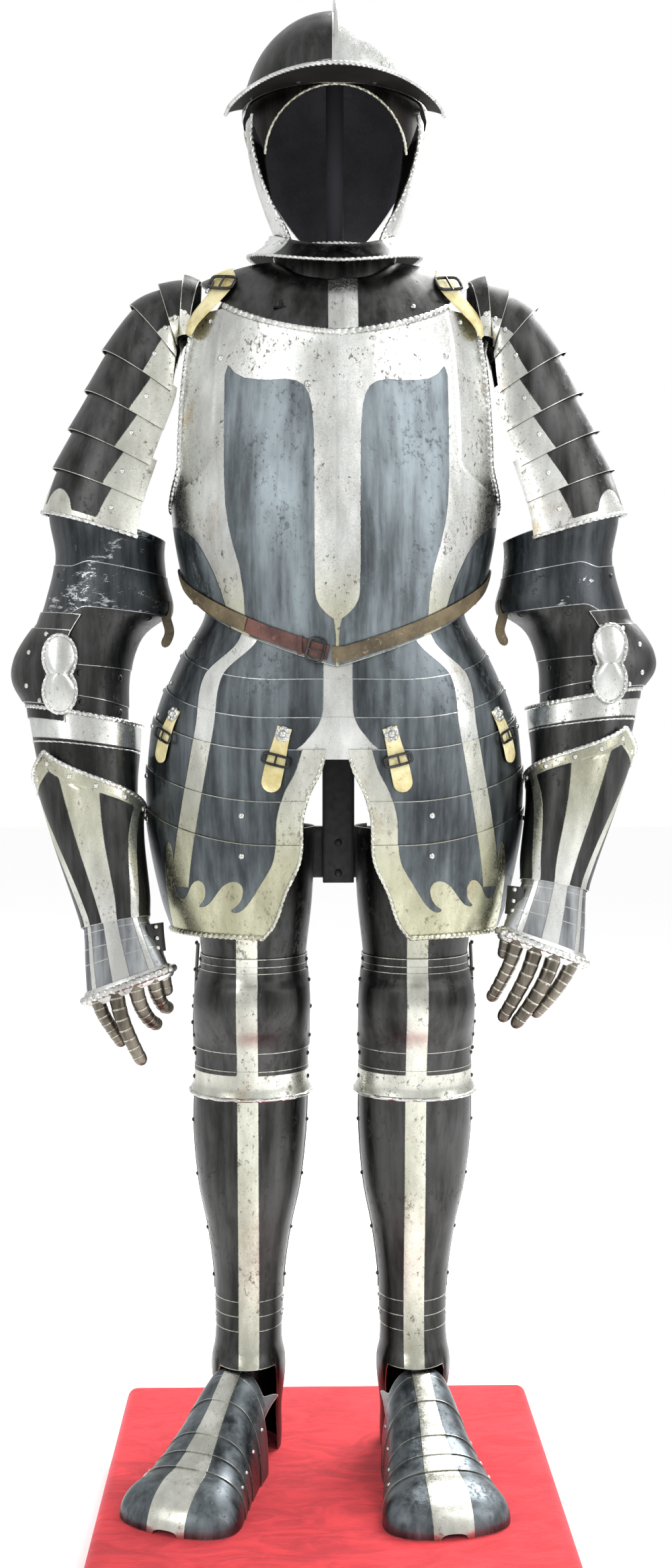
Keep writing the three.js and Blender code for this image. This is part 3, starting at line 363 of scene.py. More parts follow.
NAVY = leather_material("dark_lining_paint", rgb(0.055, 0.054, 0.064), rgb(0.085, 0.084, 0.1),
                        rgb(0.04, 0.038, 0.045))
WOOD = leather_material("plinth_board", rgb(0.16, 0.1, 0.055), rgb(0.26, 0.17, 0.1), rgb(0.1, 0.06, 0.03))
VELVET = velvet_material()
PAINT = paint_material("black_paint", rgb(0.012, 0.0125, 0.014), rgb(0.03, 0.031, 0.034))
MATT = paint_material("matt_black_paint", rgb(0.02, 0.02, 0.024), rgb(0.028, 0.028, 0.034), 0.5)
MATERIALS = [STEEL, SKIRT_STEEL, CANNON, HAND, SCALES, SHELL, DARK, BROWN, RED, BUFF, NAVY, VELVET, PAINT,
             MATT, WOOD]


# Meshes
class Piece:
    """Gathers meshes with their attributes and makes one object of them."""

    def __init__(self, shift=UPPER):
        self.shift = shift
        self.points = []
        self.faces = []
        self.slots = []
        self.values = {"bright": [], "edge": [], "inside": [], "warm": []}
        self.count = 0

    def add(self, points, faces, material=STEEL, bright=ALL_BRIGHT, edge=FAR_FROM_EDGE, inside=0.0,
            warm=0.0):
        points = np.asarray(points, float).reshape(-1, 3)
        self.points.append(points + self.shift)
        for face in faces:
            self.faces.append(np.asarray(face) + self.count)
            self.slots.append(np.full(len(face), MATERIALS.index(material)))
        for key, value in zip(self.values, (bright, edge, inside, warm)):
            self.values[key].append(np.broadcast_to(np.asarray(value, float), len(points)).ravel())
        self.count += len(points)

    def make(self, name, slot, *nodes, angle=38):
        mesh = bpy.data.meshes.new(name)
        faces = [row for group in self.faces for row in group.tolist()]
        mesh.from_pydata((np.vstack(self.points) / 1000).tolist(), [], faces)
        for key, parts in self.values.items():
            layer = mesh.attributes.new(key, "FLOAT", "POINT")
            layer.data.foreach_set("value", np.concatenate(parts).astype(np.float32))
        used = np.concatenate(self.slots)
        kinds = sorted(set(used.tolist()))
        for kind in kinds:
            mesh.materials.append(MATERIALS[kind])
        index = np.array([kinds.index(kind) for kind in used.tolist()], np.int32)
        mesh.polygons.foreach_set("material_index", index)
        mesh.polygons.foreach_set("use_smooth", np.ones(len(index), bool))
        mesh.validate()
        mesh.set_sharp_from_angle(angle=math.radians(angle))
        mesh.update()
        obj = bpy.data.objects.new(name, mesh)
        bpy.context.scene.collection.objects.link(obj)
        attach(obj, "root")
        if nodes:
            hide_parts(*nodes)
        return obj


def grid_faces(rows, columns, ring, start=0, flip=False):
    """Quads of a grid whose rows run one after another."""
    j, i = np.meshgrid(np.arange(rows - 1), np.arange(columns if ring else columns - 1), indexing="ij")
    a = (start + j * columns + i).ravel()
    b = (start + j * columns + (i + 1) % columns).ravel()
    quads = np.stack([a, b, b + columns, a + columns], 1)
    return quads[:, ::-1] if flip else quads


def fan(start, sides, centre, flip=False):
    """Triangles from a ring of points to one point at its centre."""
    k = start + np.arange(sides)
    n = start + (np.arange(sides) + 1) % sides
    return np.stack([n, k, np.full(sides, centre)] if flip else [k, n, np.full(sides, centre)], 1)


def wall_faces(rows, columns, ring, mirror):
    """A closed wall's faces: its outer grid, its inner grid one layer on, and the rims between them."""
    layer = rows * columns
    i = np.arange(columns if ring else columns - 1)
    j = (i + 1) % columns
    top = (rows - 1) * columns
    rims = [np.stack([i + layer, j + layer, j, i], 1),
            np.stack([top + i, top + j, top + j + layer, top + i + layer], 1)]
    if not ring:
        first = np.arange(rows - 1) * columns
        end = first + columns - 1
        rims.append(np.stack([first + layer, first, first + columns, first + columns + layer], 1))
        rims.append(np.stack([end, end + layer, end + columns + layer, end + columns], 1))
    if mirror:
        rims = [rim[:, ::-1] for rim in rims]
    front = grid_faces(rows, columns, ring, 0, mirror)
    return front, grid_faces(rows, columns, ring, layer, not mirror), rims


def field(source, shape, *where):
    """A number or a function of place, as one value for each point of a grid."""
    return np.broadcast_to(source(*where) if callable(source) else float(source), shape)


def along_grid(points, axis):
    """The length along a grid's rows or columns up to each of its points."""
    steps = np.cumsum(np.linalg.norm(np.diff(points, axis=axis), axis=-1), axis)
    return np.concatenate([np.zeros_like(np.take(points[..., 0], [0], axis)), steps], axis)


def plate(piece, point, us, vs, lift=0.0, ring=False, mirror=False, bright=ALL_BRIGHT, warm=0.0,
          material=STEEL, lining=None, worn=True, shade=1.0):
    """A closed wall over a surface. Returns its outer face and the surface's normals.

    lift moves it off the surface, lining is another material for its inside, worn shows its edges rubbed
    bright, and shade is how dark its inside is.
    """
    U, V = np.meshgrid(us, vs)
    du = (us[-1] - us[0]) / 2000
    dv = (vs[-1] - vs[0]) / 2000
    base = point(U, V)
    normal = unit(np.cross(point(U + du, V) - point(U - du, V), point(U, V + dv) - point(U, V - dv)))
    if mirror:
        normal = -normal
    outer = base + normal * field(lift, U.shape, U, V)[..., None]
    inner = outer - normal * WALL
    rows, columns = U.shape
    layer = rows * columns
    along = along_grid(outer, 0)
    edge = np.minimum(along, along[-1:] - along)
    if not ring:
        along = along_grid(outer, 1)
        edge = np.minimum(edge, np.minimum(along, along[:, -1:] - along))
    shown = field(bright, U.shape, U, V, outer)
    tint = field(warm, U.shape, U, V, outer)
    front, back, rims = wall_faces(rows, columns, ring, mirror)
    if lining:
        piece.add(inner, [back - layer], lining)
        faces = [front, *rims]
    else:
        faces = [front, back, *rims]
    inside = np.concatenate([np.zeros(layer), np.where(edge.ravel() < 0.01, 0.0, shade)])
    if not worn:
        edge = edge + FAR_FROM_EDGE
    piece.add(np.concatenate([outer.reshape(-1, 3), inner.reshape(-1, 3)]), faces, material,
              bright=np.tile(shown.ravel(), 2), edge=np.tile(edge.ravel(), 2), inside=inside,
              warm=np.tile(tint.ravel(), 2))
    return outer, normal


def circle(first, second, sides):
    """Unit vectors round a circle between two directions, for each point of a path."""
    turn = np.linspace(0, 2 * np.pi, sides, endpoint=False)
    return np.cos(turn)[:, None] * first[..., None, :] + np.sin(turn)[:, None] * second[..., None, :]


ROPE_DEPTH = 0.24
ROPE_STEP = 1.3


def tube(piece, path, radius, sides=10, closed=False, twist=None, material=STEEL, **values):
    """A round tube along a path; with a twist it is roped, one turn every twist millimetres."""
    path = np.asarray(path, float)
    along = unit(np.roll(path, -1, 0) - np.roll(path, 1, 0) if closed else np.gradient(path, axis=0))
    guide = [0.05, 1.0, 0.02] if np.abs(along[:, 2]).max() > 0.9 else [0.0, 0.0, 1.0]
    first = unit(np.cross(along, guide))
    size = np.broadcast_to(np.asarray(radius, float), len(path))[:, None] * np.ones(sides)
    if twist:
        turn = np.linspace(0, 2 * np.pi, sides, endpoint=False)
        phase = 2 * np.pi * run_length(path)[:, None] / twist + turn
        size = size * (1 - ROPE_DEPTH * power(np.cos(phase), 2))
    rings = path[:, None] + size[..., None] * circle(first, np.cross(along, first), sides)
    count = len(path)
    faces = [grid_faces(count + (1 if closed else 0), sides, True)]
    if closed:
        faces = [np.where(faces[0] >= count * sides, faces[0] - count * sides, faces[0])]
        points = rings.reshape(-1, 3)
    else:
        points = np.vstack([rings.reshape(-1, 3), path[0], path[-1]])
        faces += [fan(0, sides, count * sides, True), fan((count - 1) * sides, sides, count * sides + 1)]
    piece.add(points, faces, material, **values)


def rope(piece, path, radius, pitch, closed=False, **values):
    """A roped edge: the path is resampled finely and grooved along its twist."""
    path = np.asarray(path, float)
    if closed:
        path = np.vstack([path, path[:1]])
    length = run_length(path)
    count = max(int(length[-1] / ROPE_STEP), 8)
    fine = sampled(np.linspace(0, length[-1], count, endpoint=not closed), length, path)
    if closed:
        pitch = length[-1] / max(round(length[-1] / pitch), 1)
    tube(piece, fine, radius, 9, closed, pitch, **values)


def rope_edge(piece, surface, where, out, radius, pitch, **options):
    """A rope along a row or column of a plate, moved out from it."""
    outer, normal = surface
    rope(piece, outer[where] + normal[where] * out, radius, pitch, **options)


# A rivet's head: radius and height as shares
DOME = [(1.0, -0.25), (1.0, 0.05), (0.86, 0.42), (0.55, 0.72), (0.2, 0.86)]


def rivet(piece, at, normal, radius=3.2, height=2.6, material=STEEL, sides=12, **values):
    at = np.asarray(at, float)
    normal = unit(np.asarray(normal, float))
    guide = np.array([0.0, 0.0, 1.0]) if abs(normal[2]) < 0.9 else np.array([1.0, 0.0, 0.0])
    first = unit(np.cross(normal, guide))
    round_it = circle(first, np.cross(normal, first), sides)
    rows = [at + radius * r * round_it + height * h * normal for r, h in DOME]
    points = np.vstack(rows + [at + 0.9 * height * normal, at - 0.3 * height * normal])
    last = len(DOME) * sides
    faces = [grid_faces(len(DOME), sides, True), fan(last - sides, sides, last),
             fan(0, sides, last + 1, True)]
    piece.add(points, faces, material, **values)


def rivets(piece, surface, places, *size, **values):
    """Rivets at the given rows and columns of a plate."""
    outer, normal = surface
    for row, column in places:
        rivet(piece, outer[row, column], normal[row, column], *size, **values)


def inner_rivets(piece, surface, places, *size, **values):
    """Rivets on the inside of a plate."""
    outer, normal = surface
    rivets(piece, (outer - normal * WALL, -normal), places, *size, **values)


def seen_at(surface, x, z):
    """A plate's point nearest to x, z as seen from the front, and its normal."""
    outer, normal = surface
    k = np.argmin((outer[..., 0] - x) ** 2 + (outer[..., 2] - z) ** 2)
    return outer.reshape(-1, 3)[k], normal.reshape(-1, 3)[k]


# A strap's section: places across its half width, height as a share of its thickness
POINT_FROM = 0.86


def strap_section(bulge):
    crown = [(-0.93, 0.9), (-0.5, 1 + bulge * 0.6), (0, 1 + bulge), (0.5, 1 + bulge * 0.6), (0.93, 0.9)]
    return [(-1, 0.5), *crown, (1, 0.5), (0.93, 0.06), (0, 0.0), (-0.93, 0.06)]


def ribbon(piece, path, outward, width, thickness=LEATHER, material=BUFF, point_end=False, bulge=0.25,
           count=40, **values):
    """A flat strap with soft edges along a path, its face turned outward."""
    path = spline(path, count)
    look = unit(spline(outward, count))
    along = unit(np.gradient(path, axis=0))
    across = unit(np.cross(along, look))
    look = np.cross(across, along)
    half = np.broadcast_to(np.asarray(width, float), count) / 2
    if point_end:
        t = np.linspace(0, 1, count)
        tongue = np.sqrt(np.clip(1 - ((t - POINT_FROM) / 0.145) ** 2, 0.02, 1))
        half = half * np.where(t > POINT_FROM, tongue, 1)
    section = strap_section(bulge)
    rows = [path + across * (half * a)[:, None] + look * (thickness * (h - 1)) for a, h in section]
    sides = len(section)
    ends = [path[0] - look[0] * thickness / 2, path[-1] - look[-1] * thickness / 2]
    faces = [grid_faces(count, sides, True, 0, True), fan(0, sides, count * sides),
             fan((count - 1) * sides, sides, count * sides + 1, True)]
    piece.add(np.vstack([np.stack(rows, 1).reshape(-1, 3), *ends]), faces, material, **values)
    return path, look, across


def squared(wave):
    """A sine wave with flattened tops, for a loop with rounded corners."""
    return np.sign(wave) * np.abs(wave) ** 0.45


def buckle(piece, at, normal, along, width, height, wire=1.7):
    """A wire frame buckle with its tongue, lying on a strap that runs along."""
    normal = unit(normal)
    along = unit(along - normal * np.dot(along, normal))
    across = np.cross(normal, along)
    turn = np.linspace(0, 2 * np.pi, 40, endpoint=False)
    loop = (at + squared(np.cos(turn))[:, None] * across * width / 2
            + squared(np.sin(turn))[:, None] * along * height / 2 + normal * wire)
    tube(piece, loop, wire, 8, True, bright=-3.0, warm=0.5)
    tongue = np.linspace(at - along * height / 2, at + along * height * 0.62, 8) + normal * wire * 1.6
    tube(piece, tongue, wire * 0.7, 6, bright=-3.0, warm=0.5)


# Trunk
TRUNK_Y = 5
TRUNK = table("z side front back", [
    [1020, 172, 154, 98], [1060, 176, 163, 98], [1110, 182, 168, 99], [1150, 194, 168, 103],
    [1215, 205, 165, 110], [1280, 207, 159, 117], [1350, 204, 150, 122], [1400, 199, 143, 120],
    [1440, 192, 135, 112], [1480, 180, 124, 98],
])


def trunk(angle, z):
    row = TRUNK(z)
    forward = cos(angle)
    ridged = lerp(forward, 1 - np.abs(sin(angle)), 0.16)
    y = np.where(forward < 0, TRUNK_Y - row.back * forward, TRUNK_Y - row.front * ridged)
    return np.stack([row.side * sin(angle), y, z + 0 * angle], -1)


def waist_edge(angle):
    return 1030 + 104 * (np.minimum(np.abs(angle), 100) / 90) ** 1.15


def neck_edge(angle):
    return 1423 + 44 * (np.minimum(np.abs(angle), 47) / 47) ** 1.5


def breast_edge(v):
    """The angle of the breastplate's side edge."""
    return lerp(93, 47, ease(1175, 1285, lerp(1082, 1467, v)))


def breast_point(u, v):
    angle = u * breast_edge(v)
    return trunk(angle, lerp(waist_edge(angle), neck_edge(angle), v))


# Dark panels of the breastplate, seen from the front: x, z
PANEL = smooth_outline([
    (-134, 1398), (-118, 1376), (-86, 1369), (-52, 1369), (-35, 1358), (-28, 1328), (-27, 1247), (-27, 1120),
    (-24, 1104), (-12, 1090), (-2, 1084), (-2, 1010), (-60, 1010), (-108, 1060), (-112, 1136), (-128, 1188),
    (-135, 1236), (-135, 1330),
])
PANEL_SIDE = smooth_outline([
    (-230, 1215), (-196, 1206), (-178, 1193), (-164, 1176), (-143, 1134), (-128, 1084), (-120, 1040),
    (-200, 1040), (-230, 1120),
])
BREAST_RIVETS = [(-140, 1403), (-36, 1361), (28, 1361), (132, 1404)]


def build_breastplate():
    def lift(u, v):
        return 0.9 * ease(0.968, 0.99, v) + 0.5 * ease(0.96, 0.995, np.abs(u))

    def bright(U, V, P):
        x, z = -np.abs(P[..., 0]), P[..., 2]
        return -np.maximum(polygon_distance(x, z, PANEL), polygon_distance(x, z, PANEL_SIDE))

    def warm(U, V, P):
        return 0.9 * ease(1180, 1070, P[..., 2])

    piece = Piece()
    rows = np.concatenate([np.linspace(0, 0.965, 118), [0.972, 0.98, 0.99, 1]])
    surface = plate(piece, breast_point, np.linspace(-1, 1, 161), rows, lift, bright=bright, warm=warm,
                    material=SHELL)
    rope_edge(piece, surface, -1, 0.4, 4.0, 8.5)
    for x, z in BREAST_RIVETS:
        rivet(piece, *seen_at(surface, x, z), 4.2, 3.2)
    piece.make("breastplate_shell", "steel", "breastplate")


def gusset_outer(z):
    return lerp(90, 68, ease(1205, 1285, z))


def build_gusset(side):
    """The plate beside the breastplate, with a roped outer edge."""
    def point(u, v):
        edge = breast_edge(v)
        rim = lerp(waist_edge(edge), neck_edge(edge), v)
        angle = np.where(u <= 1, u * edge, lerp(edge, np.maximum(gusset_outer(rim), edge + 1), u - 1))
        low = np.minimum(angle, edge)
        return trunk(angle, lerp(waist_edge(low), neck_edge(low), v)) * [side, 1, 1]

    def lift(u, v):
        return -LAP - 2.3 + 4.0 * power((u - 1.25) / 0.75, 2)

    def bright(U, V, P):
        return (P[..., 2] - 1214) * 0.8 + 20 * (U > 1.3)

    piece = Piece()
    us = np.concatenate([np.linspace(0.8, 1, 9), np.linspace(1.03, 2, 40)])
    surface = plate(piece, point, us, np.linspace(0.28, 1, 90), lift, mirror=side < 0, bright=bright,
                    material=SHELL)
    rope_edge(piece, surface, np.s_[:, -1], 0.2, 3.6, 7.5)
    rivets(piece, surface, [(np.argmin(np.abs(surface[0][:, 25, 2] - 1454)), 25)], 3.4, 2.6)
    piece.make(f"gusset_shell_{side_name(side)}", "steel", f"gusset_{side_name(side)}")


BACK_LOW = 1112
BACK_HIGH = 1486


def build_backplate():
    def point(u, v):
        nominal = lerp(BACK_LOW, BACK_HIGH, v)
        arm_edge = lerp(87, 118, ease(1195, 1290, nominal))
        angle = 180 + u * (180 - arm_edge)
        middle = 1 - ease(0, 45, np.abs(angle - 180))
        return trunk(angle, lerp(BACK_LOW, BACK_HIGH - 24 * middle, v))

    def bright(U, V, P):
        side_bands = 14 - np.abs(np.abs(U) * 150 - 118)
        return np.maximum(12 - np.abs(P[..., 0]), np.maximum(P[..., 2] - 1440, side_bands))

    piece = Piece()
    surface = plate(piece, point, np.linspace(-1, 1, 121), np.linspace(0, 1, 90), -3.3, bright=bright)
    rope_edge(piece, surface, -1, 0.3, 3.4, 7.5)
    rivets(piece, surface, [(row, column) for column in (6, -7) for row in (12, 40, 66, 84)])
    piece.make("backplate_shell", "blackened", "backplate")


# Gorget
GORGET = table("angle reach height neck", [
    [0, 131, 1404, 1500], [30, 133, 1418, 1508], [60, 147, 1466, 1528], [90, 171, 1514, 1540],
    [120, 136, 1492, 1534], [150, 110, 1450, 1524], [180, 103, 1432, 1520],
])
GORGET_BAND_X = 8
GORGET_BAND = 18


def gorget_point(angle, v):
    edge = GORGET(from_front(angle))
    z = lerp(edge.height, edge.neck, 1 - power(1 - v, 1.6))
    y = TRUNK_Y - lerp(edge.reach * 0.97, 76, v) * cos(angle)
    return np.stack([lerp(edge.reach, 78, v) * sin(angle), y, z], -1)


def build_gorget(name, start, end):
    """Its front or back, with a bright ridged band down the front."""
    def lift(angle, v):
        across = np.abs(gorget_point(angle, v)[..., 0] - GORGET_BAND_X) / GORGET_BAND
        return np.where(np.abs(angle) < 90, 3.2 * power(1 - across, 1), 0)

    def bright(U, V, P):
        return np.where(np.abs(U) < 90, GORGET_BAND - np.abs(P[..., 0] - GORGET_BAND_X), ALL_DARK)

    piece = Piece()
    surface = plate(piece, gorget_point, np.linspace(start, end, 161), np.linspace(0, 1, 46), lift,
                    bright=bright)
    if name == "front":
        for x, z in ((-162, 1492), (94, 1466)):
            rivet(piece, *seen_at(surface, x, z), 3.8, 3)
        at, out = seen_at(surface, -66, 1462)
        foot = at + out * 0.2
        tube(piece, [foot + [-9, 0, 0], foot + [9, 0, 0]], 1.6, 8, bright=ALL_DARK, inside=1)
        tube(piece, [foot, foot + [0, 0, 9]], 2.0, 8, bright=ALL_DARK, inside=1)
    piece.make(f"gorget_{name}_shell", "blackened", f"gorget_{name}")


def build_collar():
    def point(angle, v):
        bottom = GORGET(from_front(angle)).neck - 5
        return np.stack([75 * sin(angle), TRUNK_Y - 73 * cos(angle), lerp(bottom, 1545, v)], -1)

    piece = Piece()
    surface = plate(piece, point, ROUND, np.linspace(0, 1, 12), lambda a, v: 2.2 * power(1 - v, 3),
                    ring=True, bright=ALL_DARK)
    rope_edge(piece, surface, -1, 0, 2.6, 6.5, closed=True)
    piece.make("collar_shell", "blackened", "gorget_collar")


# Helmet
HEAD_Y = 8
HEAD = table("z side front back", [
    [1530, 84, 84, 92], [1560, 78, 80, 86], [1600, 92, 92, 98], [1650, 108, 104, 112], [1700, 116, 112, 120],
    [1740, 114, 112, 120], [1780, 100, 102, 108], [1810, 78, 82, 86], [1832, 46, 52, 54], [1841, 8, 8, 8],
])
BROW = 1714
ARCH_HALF = 86
ARCH_TOP = 1723
PEAK_ANGLE = 78
COMB_ANGLE = 72
COMB_POINTS = 80
# The comb's section: height over the skull, half thickness
COMB = [(-6, 3.0), (6, 2.6), (16, 2.0), (24, 1.6), (26.4, 2.2), (27, 0.4)]


def head_point(angle, z):
    row = HEAD(z)
    depth = np.where(cos(angle) > 0, row.front, row.back)
    return np.stack([row.side * sin(angle), HEAD_Y - depth * cos(angle), z + 0 * angle], -1)


def add_skull_tip(piece, rim):
    """Closes the skull's small top opening with a flat cap."""
    tip = rim.mean(0)
    count = len(rim)
    k = np.arange(count)
    n = (k + 1) % count
    low = count + 1
    cap = np.vstack([rim, tip + [0, 0, 0.1], rim - [0, 0, 1.4], tip - [0, 0, 1.4]])
    piece.add(cap, [fan(0, count, count), fan(low, count, low + count, True),
                    np.stack([n, k, k + low, n + low], 1)])


def add_comb(piece):
    along = np.linspace(-1, 1, COMB_POINTS) * COMB_ANGLE
    sections = []
    for rise, thick in COMB:
        height = rise * cos(along * 1.18) if rise > 0 else np.full(COMB_POINTS, rise)
        sections.append((HEAD_Y + (112 + height) * sin(along), 1723 + (117 + height) * cos(along), thick))
    rows = [np.stack([np.full(COMB_POINTS, thick), y, z], 1) for y, z, thick in sections]
    rows += [np.stack([np.full(COMB_POINTS, -thick), y, z], 1) for y, z, thick in sections[::-1]]
    sides = len(rows)
    ends = [np.arange(sides)[None, ::-1], ((COMB_POINTS - 1) * sides + np.arange(sides))[None]]
    piece.add(np.stack(rows, 1).reshape(-1, 3), [grid_faces(COMB_POINTS, sides, True), *ends])


def arch_low(x):
    return ARCH_TOP - 69 * (1 - np.sqrt(np.clip(1 - (x / ARCH_HALF) ** 2, 0, 1)))


def add_brow_arch(piece):
    """The roped arch over the face, inside the peak, and the wall above it."""
    def point(u, v):
        x = ARCH_HALF * sin(88 * u)
        low = arch_low(x)
        z = lerp(low, np.maximum(ARCH_TOP + 3, low + 2), v)
        angle = np.degrees(np.arcsin(np.clip(x / (HEAD(low).side - 3), -1, 1)))
        return head_point(angle * (1 + 0.3 * v), z)

    x = ARCH_HALF * sin(np.linspace(-88, 88, 90))
    z = arch_low(x)
    row = HEAD(z)
    y = HEAD_Y - (row.front - 4) * np.sqrt(np.clip(1 - (x / (row.side - 3)) ** 2, 0, 1))
    rope(piece, np.stack([x, y, z], 1), 1.7, 6.0, warm=0.7)
    # The wall's near-black colour is partly rust and partly painted shade under the peak.
    plate(piece, point, np.linspace(-1, 1, 110), np.linspace(0, 1, 14), -3.2, bright=ALL_DARK, material=DARK,
          worn=False)


def build_skull():
    def point(angle, v):
        away = from_front(angle)
        edge = lerp(lerp(1723, BROW, ease(66, 80, away)), 1577.6, ease(88, 165, away))
        return head_point(angle, np.minimum(lerp(edge, 1841, 1 - power(1 - v, 1.35)), 1840.9))

    def bright(U, V, P):
        x, z = P[..., 0], P[..., 2]
        panel = np.minimum(-(x + 5), z - BROW - 5)
        panel = np.minimum(panel, np.abs(z - 1752 - 0.1 * x) - 0.8)
        rear = np.minimum(np.abs(x) - 12, z - 1640)
        # On the front the dark panel is only at -x; the half at +x (the suit's left) is bright steel all
        # over, a painted highlight where the light falls on that side.
        return -np.where(P[..., 1] < HEAD_Y + 40, np.where(x < 0, panel, ALL_DARK), rear)

    piece = Piece()
    rows = np.concatenate([np.linspace(0, 0.97, 60), [0.995]])
    outer, _ = plate(piece, point, FINE_ROUND, rows, ring=True, bright=bright, lining=NAVY)
    add_skull_tip(piece, outer[-1])
    add_comb(piece)
    add_brow_arch(piece)
    piece.make("helmet_skull_shell", "steel", "helmet_skull")


def build_peak():
    def point(angle, v):
        spread = power(cos(angle * 90 / PEAK_ANGLE), 0.7)
        out = 78 * (1 - v) * np.maximum(spread, 0.12)
        row = HEAD(BROW + 8)
        x = (row.side + 0.9 + out * 0.35 + 21 * (1 - v) * power(np.abs(sin(angle)), 5)) * sin(angle)
        y = HEAD_Y - (row.front + 0.9 + out) * cos(angle)
        return np.stack([x, y, BROW + 10 * power(v, 0.6) + 2 * (1 - v)], -1)

    piece = Piece()
    angles = np.linspace(-PEAK_ANGLE, PEAK_ANGLE, 140)
    surface = plate(piece, point, angles, np.linspace(0, 1, 30))
    rope(piece, surface[0][0] + [0, 0, -0.6], 2.5, 6.5)
    columns = [np.argmin(np.abs(angles - angle)) for angle in (-58, -22, 22, 58)]
    inner_rivets(piece, surface, [(-5, column) for column in columns], 3, 2.2, bright=-4)
    piece.make("helmet_peak_shell", "steel", "helmet_peak")


CHEEK_FRONT = table("z angle", [[1548, 46], [1575, 55], [1610, 63], [1650, 67], [1690, 68], [1712, 63]])


def build_cheek(side):
    def point(u, v):
        z = lerp(1548, 1709, v)
        angle = np.where(u < 0.5, lerp(CHEEK_FRONT(z).angle, 90, 2 * u), lerp(90, 126, 2 * u - 1))
        return head_point(angle, z) * [side, 1, 1]

    piece = Piece()
    surface = plate(piece, point, np.linspace(0, 1, 46), np.linspace(0, 1, 60),
                    lambda u, v: -LAP - 2.8 + 1.6 * ease(0.12, 0.02, u), mirror=side < 0)
    rope_edge(piece, surface, np.s_[:, 0], 0, 2.6, 7.0)
    for row in range(5, 58, 8):
        inner_rivets(piece, surface, [(row, 3)], 2.6, 2.0)
        rivets(piece, surface, [(row, 5)], 2.4, 1.8)
    rivets(piece, surface, [(-4, 22)], 4, 3)
    piece.make(f"helmet_cheek_shell_{side_name(side)}", "steel", f"helmet_cheek_{side_name(side)}")


def build_neck_guard():
    def point(angle, v):
        out = 30 * power(1 - v, 1.4)
        z = lerp(1551, 1577, v) - 35 * (1 - ease(0, 110, from_front(angle)))
        base = HEAD(np.maximum(z, 1556))
        depth = np.where(cos(angle) > 0, base.front, base.back)
        x = (base.side + 1.3 + out) * sin(angle)
        return np.stack([x, HEAD_Y - (depth + 1.3 + out) * cos(angle), z], -1)

    piece = Piece()
    surface = plate(piece, point, FINE_ROUND, np.linspace(0, 1, 22), ring=True,
                    bright=lambda U, V, P: from_front(U) - 46, worn=False)
    rope_edge(piece, surface, 0, 0, 2.3, 7.0, closed=True)
    rivets(piece, surface, [(15, column) for column in range(18, 108, 12)], 2.4, 1.8)
    piece.make("helmet_neck_guard_shell", "steel", "helmet_neck_guard")


# Fauld and tassets
SKIRT_Y = 5
SKIRT = table("z side front back", [
    [690, 200, 128, 96], [740, 218, 136, 104], [828, 236, 146, 110], [894, 240, 150, 112],
    [930, 238, 152, 112], [972, 232, 156, 110], [1018, 216, 156, 106], [1060, 196, 154, 100],
    [1100, 174, 150, 92], [1140, 172, 148, 92],
])
SKIRT_LAP = LAP + 0.4
SKIRT_SINK = 9.6
FAULD_EDGES = [1004, 958, 920]
FAULD_TOP = 1066
TASSET_EDGES = [(932, 858), (870, 806), (818, 705)]
TASSET_SIDE = 84
TASSET_INNER = table("z angle", [
    [690, 30], [720, 21], [760, 16], [800, 11], [850, 10], [880, 8], [905, 5], [935, 3],
])

# The bright stripe down each side of the skirt: its centre by height, and its half width
STRIPE = table("z x", [[700, 196], [764, 192], [834, 182], [960, 159], [1022, 148], [1060, 108], [1100, 96]])
STRIPE_HALF = 11.5
STRIPE_END = 762
# The bright arch over the fauld's front: its half width by height
ARCH_WIDTH = table("z x", [
    [880, 92], [912, 80], [924, 62], [936, 44], [948, 33], [962, 23], [980, 18], [1100, 18],
])
# Waves along the lower border of the tasset: distance out from the inner edge, height
WAVES = smooth_outline([
    (-20, 640), (-20, 955), (22, 955), (24, 880), (26, 800), (30, 770), (34, 752), (40, 740), (48, 733),
    (58, 735), (49, 742), (45, 752), (47, 764), (55, 771), (64, 771), (72, 765), (78, 754), (84, 744),
    (92, 737), (104, 735),
    (96, 742), (93, 750), (95, 760), (102, 766), (110, 765), (117, 758), (122, 748), (129, 741), (138, 740),
    (146, 745), (150, 756), (151, 772), (155, 792), (163, 800), (168, 790), (170, 760), (172, 640),
])


def skirt_point(angle, z):
    row = SKIRT(z)
    forward = cos(angle)
    depth = np.where(forward > 0, row.front, row.back)
    return np.stack([row.side * sin(angle), SKIRT_Y - depth * forward, z + 0 * angle], -1)


def lame_rise(angle):
    """How much higher a lame runs toward the hip."""
    return 46 * ease(20, 100, np.abs(angle))


def stripe_bright(P):
    x, z = np.abs(P[..., 0]), P[..., 2]
    return np.minimum(STRIPE_HALF - np.abs(x - STRIPE(z).x), (z - STRIPE_END) * 0.9)


def fauld_bright(U, V, P):
    x, z = np.abs(P[..., 0] - 1), P[..., 2]
    return np.maximum(stripe_bright(P), (ARCH_WIDTH(z).x - x) * 0.8)


def build_fauld(i):
    bottom = FAULD_EDGES[i]

    def point(angle, v):
        if i == 0:
            high = np.minimum(waist_edge(angle) + 26, 1130)
        else:
            high = FAULD_EDGES[i - 1] + 12 + lame_rise(angle)
        return skirt_point(angle, lerp(bottom + lame_rise(angle), high, v))

    piece = Piece()
    surface = plate(piece, point, np.linspace(-100, 100, 181), np.linspace(0, 1, 26),
                    i * SKIRT_LAP - SKIRT_SINK, bright=fauld_bright, material=SKIRT_STEEL)
    rivets(piece, surface, [(-5, 8), (-5, 172), (9, 20), (9, 160)], 3.2, 2.6)
    piece.make(f"fauld_shell_{i + 1}", "blackened", f"fauld_lame_{i + 1}")


